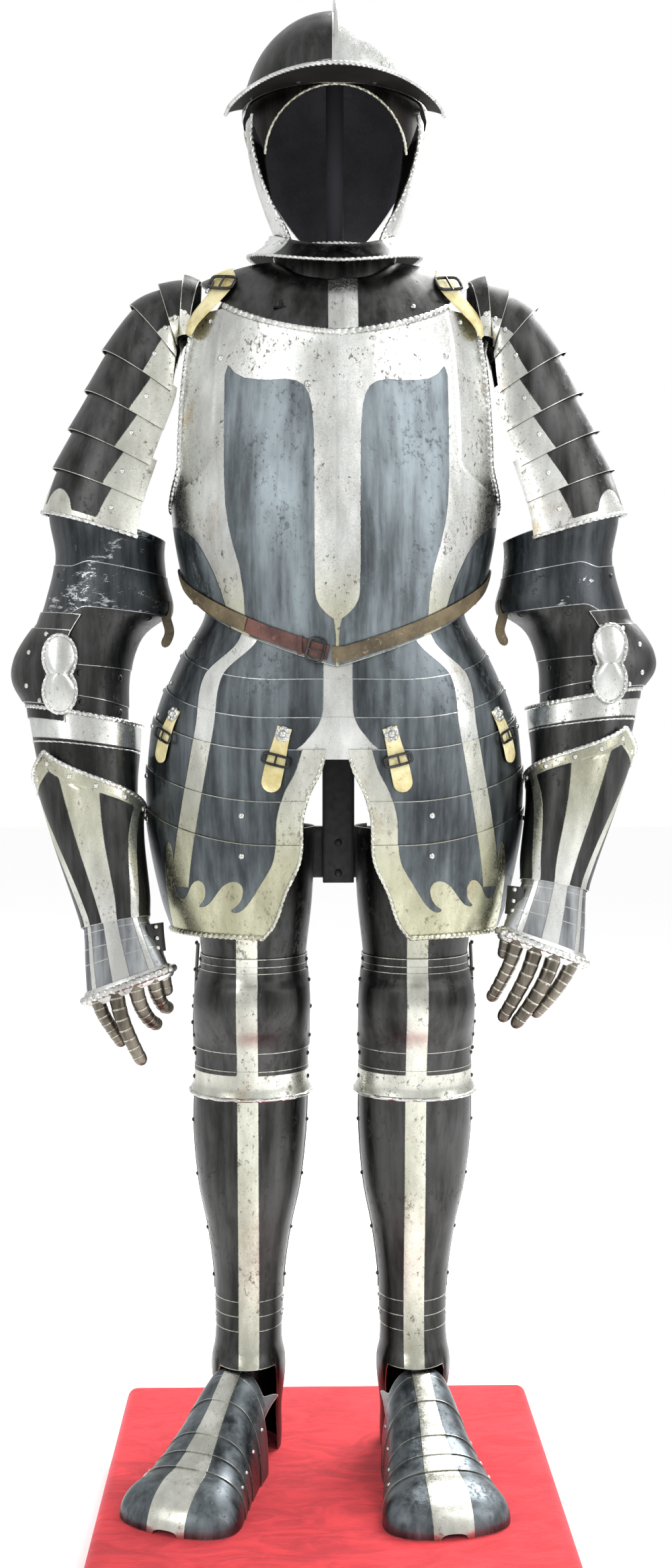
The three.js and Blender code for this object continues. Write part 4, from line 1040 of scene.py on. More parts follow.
def build_tasset(side, i):
    top, bottom = TASSET_EDGES[i]
    lowest = i == len(TASSET_EDGES) - 1

    def angle_at(u, nominal):
        return lerp(TASSET_INNER(nominal).angle, TASSET_SIDE, u)

    def point(u, v):
        nominal = lerp(bottom, top, v)
        angle = angle_at(u, nominal)
        return skirt_point(angle, nominal + lame_rise(angle) * (v if lowest else 1)) * [side, 1, 1]

    def bright(U, V, P):
        nominal = lerp(bottom, top, V)
        across = U * (TASSET_SIDE - TASSET_INNER(nominal).angle) * 3.3
        z = P[..., 2] - lame_rise(angle_at(U, nominal)) * (V if lowest else 1)
        return np.maximum(stripe_bright(P), polygon_distance(across, z, WAVES))

    def warm(U, V, P):
        return np.clip(0.35 + 0.65 * ease(900, 780, P[..., 2]), 0, 1)

    piece = Piece()
    rows = 60 if lowest else 28
    surface = plate(piece, point, np.linspace(0, 1, 120), np.linspace(0, 1, rows),
                    (i + 3) * SKIRT_LAP + 0.6 - SKIRT_SINK, mirror=side < 0, bright=bright, warm=warm,
                    material=SKIRT_STEEL)
    if lowest:
        rope_edge(piece, surface, 0, 0.4, 3.6, 8.0, warm=0.7)
        rope_edge(piece, surface, np.s_[:, 0], 0.2, 2.4, 7.0, warm=0.5)
    else:
        rope_edge(piece, surface, np.s_[:int(0.86 * rows), 0], 0.2, 2.4, 7.0, warm=0.5)
    rivets(piece, surface, [(-9, 30), (-6, 112)] if i else [(-5, 112)], 4.0, 3.2)
    piece.make(f"tasset_shell_{side_name(side)}_{i + 1}", "blackened", f"tasset_{side_name(side)}_{i + 1}")


# Waist belt, its buckle and the reddish stretch beside it
BELT_RISE = 13.5
BELT_WIDTH = 18.5
# Stretches of the belt: first and last angle, leather, points given, points drawn
BELT = [(-2.0, 270, BROWN, 60, 200), (-90.5, -37, BROWN, 24, 60), (-36.5, -3.5, RED, 24, 60)]


def belt_path(angles):
    angles = np.asarray(angles, float)
    z = waist_edge(np.minimum(from_front(angles), 92)) + BELT_RISE
    step = 0.05
    around = trunk(angles + step, z) - trunk(angles - step, z)
    normal = unit(np.cross(around, trunk(angles, z + 1) - trunk(angles, z - 1)))
    return trunk(angles, z) + normal * 3.5, normal


def build_belt():
    piece = Piece()
    for start, end, leather, given, drawn in BELT:
        path, out = belt_path(np.linspace(start, end, given))
        ribbon(piece, path, out, BELT_WIDTH, material=leather, bulge=0.15, count=drawn)
    path, out = belt_path([-9, -8, -7])
    buckle(piece, path[1] + out[1] * 0.8, out[1], path[2] - path[0], 27, 20)
    path, out = belt_path([-15, -14, -13])
    keeper = [path[1] + out[1] * away + [0, 0, rise] for away, rise in ((2.6, -11), (3.0, 0), (2.6, 11))]
    ribbon(piece, keeper, [out[1]] * 3, 6, 1.4, RED, count=12)
    piece.make("belt_strap", "leather", "waist_belt")


# Arms: k counts the lames down from the shoulder
ARM = table("k x y z tilt pitch side front back", [
    [0, 178, 10, 1462, 100, 0, 57, 56, 58], [1, 191, 10, 1460, 94, 0, 58, 57, 60],
    [2, 202, 11, 1449, 74, 0, 60, 58, 62], [3, 212, 12, 1432, 51, 0, 65, 60, 64],
    [4, 226, 12, 1386, 34, 0, 74, 62, 66], [5, 244, 12, 1341, 29, 0, 75, 64, 68],
    [6, 262, 11, 1296, 26, 0, 76, 66, 69], [7, 278, 10, 1252, 22, 0, 77, 68, 70],
    [8, 288, 10, 1205, 17, 0, 77, 69, 71], [9, 283, 10, 1158, 10, 0, 72, 66, 68],
    [10, 286, 9, 1107, 6, 0, 80, 70, 70], [10.5, 308, 8, 1074, 4, 0, 70, 66, 68],
    [11, 320, 6, 1032, 4, -2, 70, 64, 68], [12, 316, 0, 968, 10, -4, 72, 62, 66],
    [13, 308, -18, 890, 0, -8, 60, 54, 56], [14, 296, -34, 820, -6, -10, 51, 46, 48],
    [15, 278, -44, 745, -10, -11, 44, 38, 38], [16, 272, -50, 712, -11, -11, 42, 32, 33],
    [17, 264, -56, 674, -16, -10, 48, 26, 26], [18, 256, -60, 640, -21, -8, 54, 22, 22],
    [18.6, 251, -62, 620, -24, -7, 54, 21, 21],
])
LAMES = 8
LAME_OVERLAP = 0.22
LAME_FRONT = (112, 112, 112, 112, 119, 119, 125, 125)
COUTER_TOP = 10.2
ELBOW_TOP = 10.36
ELBOW_TUCK = 9.8
ELBOW_LOW = 12.15
CUFF_LOW = 15.9
CUFF_TOP = 12.6
BAND_ANGLE = 84
HAND_EDGES = [15.72, 16.16, 16.6, 17.02, 17.9]


def arm_point(side, angle, k):
    row = ARM(k)
    depth = np.where((angle < 0) & (angle > -180), row.front, row.back)
    across = row.side * cos(angle)
    back = depth * sin(angle)
    lift = ARM_LIFT * ease(9, 15, k) if side > 0 else 0
    return np.stack([
        side * (row.x + across * cos(row.tilt)),
        row.y + back * cos(row.pitch),
        row.z + lift + across * sin(row.tilt) + back * sin(row.pitch),
    ], -1)


def arm_spot(side, angle, k):
    return arm_point(side, np.array(float(angle)), np.array(float(k)))


def arm_plate(piece, side, start, end, angles, rows, lift, **options):
    """A plate from k = start at its lower edge to k = end at its upper one; lift reads angle and t up it."""
    def point(a, v):
        return arm_point(side, folded(a) if options.get("ring") else a, -v)

    def lifted(a, v):
        return lift(a, (-v - start) / (end - start))

    return plate(piece, point, angles, -lerp(start, end, np.linspace(0, 1, rows)), lifted, mirror=side < 0,
                 **options)


def add_pauldron_lame(piece, side, i):
    start = i - LAME_OVERLAP if i else 0

    def lift(a, t):
        flare = LAP * (1.36 if i < 2 else 1.08) + 5 * power(cos(a * 0.9), 2)
        return lerp(flare, -1.1 if i else 0.0, t ** 0.8)

    def bright(U, V, P):
        share = (-V - start) / (i + 1 - start)
        ends = (-U - lerp(90, 80, share) - 1.2 * max(i - 3, 0)) * 1.05
        shown = np.maximum(ends, (U - 84) * 1.05)
        if i == LAMES - 1:
            low = (share - 0.86) * 60
            hump = 22 - np.hypot((U + 42) * 1.15, (share - 0.98) * 46 * 1.05)
            wing = 20 - np.hypot((U + 2) * 1.2, (share - 0.72) * 46) * 0.9
            shown = np.maximum(np.maximum(shown, low), np.maximum(hump, wing))
        return shown

    surface = arm_plate(piece, side, i + 1, start, np.linspace(-LAME_FRONT[i], 100, 90), 22, lift,
                        bright=bright, warm=0.35 if side < 0 else 0.1, shade=0.25 if i < 3 else 1.0)
    if i == LAMES - 1:
        rope_edge(piece, surface, 0, 0.4, 2.6, 9.0)
    rivets(piece, surface, [(9, 11), (9, -12)], 3.4, 2.8)


def build_pauldron(side, pair):
    piece = Piece()
    for i in (2 * pair - 2, 2 * pair - 1):
        add_pauldron_lame(piece, side, i)
    piece.make(f"pauldron_shell_{side_name(side)}_{pair}", "blackened", f"pauldron_{side_name(side)}_{pair}")


def build_upper_cannon(side):
    """Two lengths, the lower cut out over the elbow, and a leather end hanging inside it."""
    def point(angle, v):
        outside = 1 - ease(50, 76, np.abs(folded(angle)))
        return arm_point(side, folded(angle), lerp(lerp(10.05, 10.42, outside), 7.75, v))

    piece = Piece()
    look = {"ring": True, "mirror": side < 0, "bright": ALL_DARK, "material": CANNON}
    plate(piece, point, ROUND, np.linspace(0.45, 1, 22), -1.3, **look)
    surface = plate(piece, point, ROUND, np.linspace(0, 0.47, 26), **look)
    top = arm_spot(side, -158, 9.9)
    tail = [top + [side * x, y, z] for x, y, z in ((0, 8, 12), (1, 4, -8), (-3, 2, -28), (4, 0, -46))]
    ribbon(piece, tail, [[0, -1, 0]] * 4, 12, 2.2, BROWN, point_end=True)
    columns = [np.argmin(np.abs(ROUND - angle % 360)) for angle in (-30, 150)]
    rivets(piece, surface, [(20, column) for column in columns], 3, 2.2, bright=-3)
    piece.make(f"upper_cannon_shell_{side_name(side)}", "blackened", f"upper_cannon_{side_name(side)}")


def build_couter(side):
    """The elbow's cop between two lames, with its roped wing."""
    def add_band(low, high, extra, rows):
        def lift(a, t):
            bulge = sin(180 * np.clip((lerp(low, high, t) - 0.1) / 0.8, 0, 1))
            return LAP + 0.8 + 16 * bulge * power(cos(a - 12), 1.5) + extra

        return arm_plate(piece, side, lerp(ELBOW_LOW, COUTER_TOP, low), lerp(ELBOW_LOW, COUTER_TOP, high),
                         np.linspace(-76, 90, 80), rows, lift, bright=ALL_DARK)

    def wing(u, v):
        reach = 12.5 + 20.5 * np.abs(cos(u)) ** 1.4
        x = -side * (sin(u) * reach * 1.12) * v
        z = cos(u) * reach * 1.45 * v
        y = -8 - 9 * (1 - v ** 2)
        return np.stack([centre[0] + x - side * 4, centre[1] + y + 0 * x, centre[2] + z], -1)

    piece = Piece()
    add_band(0.0, 0.2, -0.8, 14)
    cop = add_band(0.14, 0.86, 0.5, 46)
    add_band(0.8, 1.0, -0.8, 14)
    rivets(piece, cop, [(2, 12), (42, 12), (12, 18), (33, 18)], 3.4, 2.6)
    centre = arm_spot(side, -72, 11.2)
    surface = plate(piece, wing, FINE_ROUND, np.linspace(1, 0.02, 16), ring=True, mirror=side < 0)
    rope_edge(piece, surface, 0, 0, 2.6, 6.0, closed=True)
    piece.make(f"couter_shell_{side_name(side)}", "blackened", f"couter_{side_name(side)}")


def build_elbow_lames(side):
    """Three lames inside the elbow; the top one runs up into the upper cannon."""
    piece = Piece()
    for low, high, sink in ((0, 0.36, -5.2), (0.31, 0.7, -4.2), (0.65, 1, -3.2)):
        def lift(a, t, low=low, high=high, sink=sink):
            narrow = 13 * ease(-105, -165, a) * (1 - lerp(low, high, t))
            return lerp(sink, 0.6 + sink * 0.3, ease(-100, -66, a)) - narrow

        surface = arm_plate(piece, side, lerp(ELBOW_LOW, ELBOW_TOP, low),
                            lerp(ELBOW_LOW, ELBOW_TUCK if high == 1 else ELBOW_TOP, high),
                            np.linspace(-190, -62, 60), 16, lift, bright=ALL_DARK)
        rivets(piece, surface, [(10, 20), (10, 44)], 4.2, 1.6, bright=-2, warm=0.6)
    piece.make(f"elbow_shell_{side_name(side)}", "blackened", f"elbow_lames_{side_name(side)}")


def build_lower_cannon(side):
    piece = Piece()
    surface = arm_plate(piece, side, 15.6, 11.95, ROUND, 50, lambda a, t: 0.0, ring=True,
                        bright=lambda U, V, P: (12.42 + V) * 60)
    rope_edge(piece, surface, -1, 0.5, 3.2, 7.0, closed=True)
    rope_edge(piece, surface, -8, 0.1, 1.2, 9.0, closed=True)
    piece.make(f"lower_cannon_shell_{side_name(side)}", "blackened", f"lower_cannon_{side_name(side)}")


def build_cuff(side):
    """The gauntlet's flared cuff: a ridged bright band between two curved ones, and a bright border."""
    def k_at(angle, v):
        beside = np.abs(folded(angle + 50)) / 180
        return lerp(CUFF_LOW, CUFF_TOP + 1.15 * power(beside, 0.8), v)

    def lift(a, v):
        ridge = 2.2 * power(1 - np.abs(folded(a + BAND_ANGLE)) / 18, 1) * (v < 0.9)
        return LAP + 6 * power(v, 1.2) + ridge + ease(0.905, 0.925, v)

    def bright(U, V, P):
        off = np.abs(folded(U + BAND_ANGLE))
        t = np.clip((CUFF_LOW - k_at(U, V)) / 3.3, -1, 1)
        middle = lerp(11, 20, power(t, 1.2)) - off * 0.85
        curve = 6.5 - np.abs(off - (45 + 60 * power(t, 2.2))) * 0.8
        return np.maximum((V - 0.915) * 200, np.maximum(middle, curve))

    piece = Piece()
    surface = plate(piece, lambda a, v: arm_point(side, folded(a), k_at(a, v)), FINE_ROUND,
                    np.linspace(0, 1, 80), lift, ring=True, mirror=side < 0, bright=bright,
                    warm=lambda U, V, P: 0.15 + 0.6 * ease(0.2, 0.75, V))
    rope_edge(piece, surface, -1, 0.3, 2.8, 7.0, closed=True)
    offsets = (0, 24, -24, 52, -52, 84, -84, 120, -120, 160, -160)
    columns = [np.argmin(np.abs(folded(FINE_ROUND - (-50 + offset)))) for offset in offsets]
    rivets(piece, surface, [(-5, column) for column in columns], 3.4, 2.8)
    piece.make(f"gauntlet_cuff_shell_{side_name(side)}", "blackened", f"gauntlet_cuff_{side_name(side)}")


DIGIT_POINTS = 81
DIGIT_TURN = np.linspace(-118, 118, 19)
DIGIT_WALL = 1.1


def digit(piece, side, start, joints, radius, facing, scales):
    """A finger of overlapping scales round half its width, with a rounded last one."""
    route = [start] + [start + np.array([side * x, y, z]) for x, y, z in joints]
    path = spline(route, DIGIT_POINTS)
    along = unit(np.gradient(path, axis=0))
    face = np.array(facing, float)
    out = unit(face - along * (along @ face)[:, None])
    across = np.cross(along, out)
    for s in range(scales):
        last = s == scales - 1
        low = s / scales - (0.02 if s else 0)
        high = (s + 1.12) / scales
        t = np.linspace(low, min(high, 1.0), 16 if last else 10)
        where = np.clip(t, 0, 1) * (DIGIT_POINTS - 1)
        knots = np.arange(DIGIT_POINTS)
        middle, outward, aside = (sampled(where, knots, given) for given in (path, out, across))
        size = radius * (1 - 0.2 * t) + 0.8 * (1 - (t - low) / (high - low))
        if last:
            size = size * np.sqrt(np.clip(1 - power((t - 0.9) / 0.102, 2.4), 0.02, 1))
        spread = (cos(DIGIT_TURN)[None, :, None] * outward[:, None]
                  - sin(DIGIT_TURN)[None, :, None] * aside[:, None])
        outer = middle[:, None] + size[:, None, None] * spread
        inner = middle[:, None] + np.maximum(size - DIGIT_WALL, 0.1)[:, None, None] * spread
        rows, columns = outer.shape[:2]
        front, back, rims = wall_faces(rows, columns, False, True)
        edge = np.repeat(np.minimum(np.arange(rows), 9) * 0.5 + (0.35 if s else 0.9), columns)
        piece.add(np.concatenate([outer.reshape(-1, 3), inner.reshape(-1, 3)]), [front, back, *rims], SCALES,
                  bright=-1.0, edge=np.tile(edge, 2), inside=np.repeat([0.0, 1.0], rows * columns), warm=0.6)


def build_hand(side):
    """Four wrist and hand lames, the thumb and its hinge plate."""
    def bright(U, V, P):
        off = np.abs(folded(U + BAND_ANGLE))
        return np.maximum(9 - off * 0.72, 4.0 - np.abs(off - 46) * 0.72)

    piece = Piece()
    for i in range(4):
        surface = arm_plate(piece, side, HAND_EDGES[i + 1], HAND_EDGES[i] - (0.06 if i else 0),
                            np.linspace(-205, 25, 90), 10,
                            lambda a, t, i=i: -0.1 - 0.4 * (3 - i) + 0.25 * (1 - t), bright=bright,
                            material=HAND)
        if i == 0:
            rivets(piece, surface, [(5, 6), (5, 84)], 2.6, 2)
    thumb_at = arm_spot(side, -176, 16.7) + [side * 9, 2, 0]
    digit(piece, side, thumb_at, [[-9, 4, -28], [-16, 8, -52], [-20, 10, -74]], 11, [-side, -0.5, 0], 6)
    hinge_at = arm_spot(side, -168, 16.5)
    out = [-side * 0.7, -1, 0.1]
    strip = [hinge_at + [-side * x, y, z] for x, y, z in ((3, -3, 12), (4, -3, -4), (6, -2, -24))]
    ribbon(piece, strip, [out] * 3, 24, 1.5, STEEL, bright=-2, count=16)
    for dz in (8, -6, -18):
        rivet(piece, hinge_at + [-side * (5 - dz * 0.1), -4.5, dz], out, 3, 2.4)
    piece.make(f"gauntlet_hand_shell_{side_name(side)}", "blackened", f"gauntlet_hand_{side_name(side)}")


# Each finger: its place across the knuckles, its radius, and its joints from the knuckle on
FINGERS = {
    -1: [(0.76, 8.5, [[-8, -2, -22], [-20, 4, -44], [-32, 10, -64]]),
         (0.3, 9.5, [[-8, -2, -34], [-20, 2, -66], [-34, 8, -96]]),
         (-0.16, 9.5, [[-8, 3, -30], [-18, 14, -50], [-28, 30, -60]]),
         (-0.6, 9, [[-5, 6, -24], [-12, 20, -42], [-18, 38, -48]])],
    1: [(0.76, 8.5, [[-14, -4, -26], [-32, 0, -52], [-50, 8, -74]]),
        (0.3, 9.5, [[-14, -6, -34], [-32, -2, -66], [-52, 6, -96]]),
        (-0.16, 9.5, [[-12, -4, -34], [-28, 2, -68], [-44, 10, -98]]),
        (-0.6, 9, [[-10, 0, -30], [-22, 8, -58], [-34, 18, -82]])],
}


def build_fingers(side):
    """The knuckle bar and four fingers."""
    piece = Piece()
    surface = arm_plate(piece, side, 18.3, 17.75, np.linspace(-176, -4, 80), 14,
                        lambda a, t: LAP + 4 * sin(180 * t))
    rope_edge(piece, surface, 7, -0.6, 5.0, 9.0)
    for place, radius, joints in FINGERS[side]:
        at = arm_spot(side, -math.degrees(math.acos(place)), 17.98)
        digit(piece, side, at + [0, radius - 5.5, 0], joints, radius, [0, -1, 0], 8)
    piece.make(f"gauntlet_fingers_shell_{side_name(side)}", "steel", f"gauntlet_fingers_{side_name(side)}")


# Legs
LEG = table("z y x side front back", [
    [0, 78, 0, 42, 48, 49], [20, 78, 0, 43, 48, 49], [60, 70, 1, 44, 46, 46], [105, 64, 2, 50, 60, 48],
    [128, 63, 2, 50, 63, 48], [150, 62, 2, 46, 53, 47], [190, 62, 1, 45, 47, 46], [240, 62, 1, 46, 48, 48],
    [300, 60, 1, 54, 54, 58], [360, 57, 1, 66, 60, 70], [432, 54, 1, 73, 62, 77], [490, 48, 0, 73, 62, 76],
    [545, 40, -1, 70, 62, 72], [605, 32, -1, 66, 64, 70], [665, 26, -3, 67, 66, 72],
    [740, 20, -2, 76, 74, 80], [835, 16, 0, 82, 82, 86],
])
LEG_BAND = 13.5
KNEE = table("z out", [
    [486, 7], [498, 2.7], [520, 2.6], [550, 4.8], [560, 7], [580, 13], [605, 17], [628, 13], [642, 5],
    [655, 3.2], [668, 3.1],
])
# The knee's lames and cop: lower and upper edge, lift, rows
KNEE_PLATES = [(486, 522, 0.0, 20), (514, 556, -0.6, 20), (546, 650, 0.8, 60), (638, 658, -0.4, 10),
               (652, 668, -1.0, 10)]
KNEE_SIDE = 14
HINGE_HEIGHTS = (540, 575, 610, 645, 680)
SABATON = table("ahead half height", [
    [0, 48, 138], [34, 50, 132], [62, 53, 122], [97, 56, 99], [140, 63, 70], [175, 71, 51], [205, 78, 46],
    [226, 74, 38], [240, 60, 28], [248, 40, 17], [252, 16, 7],
])
SABATON_LAMES = [(50, 63.5), (62, 93.6), (92, 133.6), (132, 156.6), (155, 179.6), (178, 252)]


def leg_point(side, angle, z):
    row = LEG(z)
    depth = np.where(np.abs(folded(angle)) < 90, row.front, row.back)
    lean = 4 * ease(200, 700, z)
    x = lean + side * (LEG_X + row.x + row.side * sin(angle))
    return np.stack([x, row.y - depth * cos(angle), z + 0 * angle], -1)


def leg_bright(side):
    """A bright band down the leg's front."""
    def shown(U, V, P):
        return LEG_BAND - np.abs(P[..., 0] - side * LEG_X)
    return shown


def shoe_across(half, u):
    """The sabaton's section from side to side: a rounded square."""
    return half * np.sign(u) * power(np.abs(sin(u)), 0.77)


def build_cuisse(side):
    piece = Piece(SUIT)
    plate(piece, lambda a, z: leg_point(side, a, z), np.linspace(-128, 128, 90), np.linspace(652, 832, 40),
          mirror=side < 0, bright=leg_bright(side), warm=0.55)
    piece.make(f"cuisse_shell_{side_name(side)}", "blackened", f"cuisse_{side_name(side)}")


def build_poleyn(side):
    """The knee's cop and lames, with its hinge strip on the outer side."""
    def bright(U, V, P):
        return np.maximum(leg_bright(side)(U, V, P), np.where(P[..., 2] < 520, 516 - P[..., 2], ALL_DARK))

    piece = Piece(SUIT)
    for low, high, extra, rows in KNEE_PLATES:
        def lift(a, z, extra=extra):
            out = KNEE(z).out
            return np.where(out <= 4.8, out, lerp(4.8, out, ease(110, 40, np.abs(a)))) + extra

        surface = plate(piece, lambda a, z: leg_point(side, a, z), np.linspace(-112, 112, 100),
                        np.linspace(low, high, rows), lift, mirror=side < 0, bright=bright, warm=0.35)
        if low == KNEE_PLATES[0][0]:
            rope_edge(piece, surface, 0, 0.3, 2.6, 30.0)
            rivets(piece, surface, [(8, 50)], 3.4, 2.6)
        for row in ((rows // 2,) if rows < 50 else (8, 30, 50)):
            rivets(piece, surface, [(row, KNEE_SIDE), (row, -1 - KNEE_SIDE)], 3.2, 2.4, bright=-2)
    hinge = [leg_point(side, 96, z) + [side * (9 if 560 < z < 650 else 5), -6, 0] for z in HINGE_HEIGHTS]
    ribbon(piece, hinge, [[side * 0.9, -0.3, 0]] * len(hinge), 10, 2.4, STEEL, bright=-4, count=24)
    for at in hinge:
        rivet(piece, at + [side * 0.5, -0.5, 0], [side * 0.9, -0.6, 0], 3, 2.6, bright=-3)
    piece.make(f"poleyn_shell_{side_name(side)}", "blackened", f"poleyn_{side_name(side)}")


def build_greave(side):
    """The shin's tube, two ankle rings, and a lower plate cut out over the instep."""
    def point(a, z):
        return leg_point(side, folded(a), z)

    def ankle_point(a, v):
        instep = lerp(129, 0.3, ease(48, 67, np.abs(folded(a))))
        return point(a, lerp(instep, 176, v))

    piece = Piece(SUIT)
    look = {"ring": True, "mirror": side < 0, "bright": leg_bright(side), "warm": 0.55}
    plate(piece, ankle_point, FINE_ROUND, np.linspace(0, 1, 40), -1.5, **look)
    for low, high, lift in ((174, 196, -1.0), (193, 215, -0.5)):
        surface = plate(piece, point, FINE_ROUND, np.linspace(low, high, 8), lift, **look)
        columns = [np.argmin(np.abs(folded(FINE_ROUND - angle))) for angle in (78, -78, 96, -96)]
        rivets(piece, surface, [(4, column) for column in columns], 2.8, 2.2, bright=0.5)
    outer, normal = plate(piece, point, FINE_ROUND, np.linspace(212.5, 528, 110), **look)
    for angle in (90, -90):
        k = np.argmin(np.abs(folded(FINE_ROUND - angle)))
        tube(piece, outer[2:-2, k] + normal[2:-2, k] * -0.4, 1.6, 6, bright=-2)
        rows = (8, 30, 55, 80, 100)
        rivets(piece, (outer + normal, normal), [(row, k) for row in rows], 2.8, 2.4, bright=-1)
    piece.make(f"greave_shell_{side_name(side)}", "blackened", f"greave_{side_name(side)}")


def build_sabaton(side):
    def point(u, v):
        rear = lerp(50, 4, ease(45, 62, np.abs(u)))
        ahead = np.where(v > -62, lerp(62, rear, (62 + v) / 12), -v)
        row = SABATON(ahead)
        turn = FOOT_TURN[side]
        across = shoe_across(row.half, u)
        return np.stack([
            side * (LEG_X + ahead * sin(turn) + across * cos(turn)),
            62 - ahead * cos(turn) + across * sin(turn),
            0.3 + row.height * power(cos(u), 0.77),
        ], -1)

    def bright(U, V, P):
        half = SABATON(np.clip(-V, 0, 252)).half
        return lerp(12, 25, ease(80, 235, -V)) - np.abs(shoe_across(half, U))

    piece = Piece(SUIT)
    us = np.linspace(-90, 90, 90)
    last = len(SABATON_LAMES) - 1
    for i, (near, far) in enumerate(SABATON_LAMES):
        def lift(u, v, near=near, far=far):
            return 1.7 * np.clip((-v - near) / (far - near), 0, 1)

        middle = 0 < i < last
        # The sabatons take the brighter skirt steel: partly its bluish tone, partly a painted highlight on
        # their tops.
        surface = plate(piece, point, us if i else us[np.abs(us) < 60],
                        -np.linspace(far, near, 50 if i == last else 16), lift if middle else 0.0,
                        mirror=side < 0, bright=bright, warm=0.3, material=SKIRT_STEEL)
        if middle:
            rivets(piece, surface, [(8, 14), (8, -15)], 2.8, 2.2)
    piece.make(f"sabaton_shell_{side_name(side)}", "blackened", f"sabaton_{side_name(side)}")


# Straps
def surface_out(point, u, v, distance):
    """A place off a surface, and the surface's normal there."""
    u, v = np.array(float(u)), np.array(float(v))
    out = unit(np.cross(point(u + 0.05, v) - point(u - 0.05, v), point(u, v + 0.01) - point(u, v - 0.01)))
    return point(u, v) + out * distance, out


def strap_ribbon(piece, side, stops, width, count):
    mirror = np.array([side, 1, 1])
    path, look, across = ribbon(piece, [at * mirror for at, _ in stops], [out * mirror for _, out in stops],
                                width, point_end=True, count=count)
    return path, look, across


def build_shoulder_strap(side):
    piece = Piece()
    over = [surface_out(gorget_point, *stop)
            for stop in ((112, 0.12, 5), (96, 0.3, 4), (80, 0.3, 4), (70, 0.14, 6))]
    stops = [surface_out(trunk, 122, 1462, 4), *over, surface_out(trunk, 63, 1454, 8),
             surface_out(trunk, 67, 1438, 6.5)]
    path, look, _ = strap_ribbon(piece, side, stops, 27, 80)
    buckle(piece, path[52] + look[52] * 1.5, look[52], path[54] - path[50], 34, 20, 2.0)
    piece.make(f"shoulder_strap_leather_{side_name(side)}", "buff", f"shoulder_strap_{side_name(side)}")


# Tasset straps: upper and lower angle, top, bottom, room under them
TASSET_STRAPS = {"inner": (15.5, 19.5, 958, 882, 0.6), "outer": (60, 65, 958, 888, -0.4)}
PETALS = 6


def build_tasset_strap(side, label):
    """A buff strap from the last fauld lame to the tasset, with its buckle and flower-shaped rivet."""
    angle, low_angle, top, bottom, room = TASSET_STRAPS[label]
    piece = Piece()
    stops = []
    for share, rise in ((0, 2 * SKIRT_LAP), (0.33, 3 * SKIRT_LAP + 0.6), (0.66, 4 * SKIRT_LAP + 0.6),
                        (1, 4 * SKIRT_LAP + 0.6)):
        at_angle = lerp(angle, low_angle, share)
        at_z = lerp(top, bottom, share) + lame_rise(at_angle)
        stops.append(surface_out(skirt_point, at_angle, at_z, rise + room - SKIRT_SINK + LEATHER))
    width = lerp(18, 24, ease(0.1, 0.7, np.linspace(0, 1, 50)))
    path, look, across = strap_ribbon(piece, side, stops, width, 50)
    buckle(piece, path[25] + look[25], look[25], path[27] - path[23], 33, 12)
    centre, out = path[5], look[5]
    rivet(piece, centre + out * 0.4, out, 9.5, 2.2, warm=0.2)
    rivet(piece, centre + out * 2.2, out, 4.6, 4.0)
    for petal in range(PETALS):
        turn = petal * 2 * math.pi / PETALS
        away = math.cos(turn) * across[5] + math.sin(turn) * np.cross(out, across[5])
        rivet(piece, centre + out * 1.4 + 6.4 * away, out, 3.0, 2.2, sides=8)
    which = f"{label}_{side_name(side)}"
    piece.make(f"tasset_strap_leather_{which}", "buff", f"tasset_strap_{which}")


# Stand: a board in a velvet cover, and the painted frame
def cube_corner(axis, sign, a, b, steps):
    corner = [0, 0, 0]
    corner[axis] = sign * steps
    corner[(axis + 1) % 3] = 2 * a - steps
    corner[(axis + 2) % 3] = 2 * b - steps
    return tuple(corner)


def rounded_box(size, edge, steps):
    """A box with rounded edges: its points, its faces, and the same points on a cube of half width 1."""
    index = {}
    faces = []
    for axis in range(3):
        for sign in (-1, 1):
            for a in range(steps + 1):
                for b in range(steps + 1):
                    index.setdefault(cube_corner(axis, sign, a, b, steps), len(index))
            for a in range(steps):
                for b in range(steps):
                    quad = [index[cube_corner(axis, sign, a + da, b + db, steps)]
                            for da, db in ((0, 0), (1, 0), (1, 1), (0, 1))]
                    faces.append(quad if sign > 0 else quad[::-1])
    cube = np.array(list(index), float) / steps
    half = np.array(size, float) / 2
    flat = np.sign(cube) * (1 - (1 - np.abs(cube)) ** 1.9) * half
    near = np.clip(flat, edge - half, half - edge)
    return near + unit(flat - near + 1e-9 * np.sign(flat)) * edge, np.array(faces), cube


def free_edges(faces):
    """Edges that belong to one face only, in that face's order."""
    pairs = np.stack([faces, np.roll(faces, -1, 1)], 2).reshape(-1, 2)
    known = set(map(tuple, pairs.tolist()))
    return np.array([pair for pair in pairs.tolist() if (pair[1], pair[0]) not in known])


VELVET_THICK = 1.6
BOARD_ROOM = 0.4
PLINTH_EDGE = 14
PLINTH_STEPS = 44
TURN_SHARE = 0.7
ROD = 11
ROD_SIDES = 24


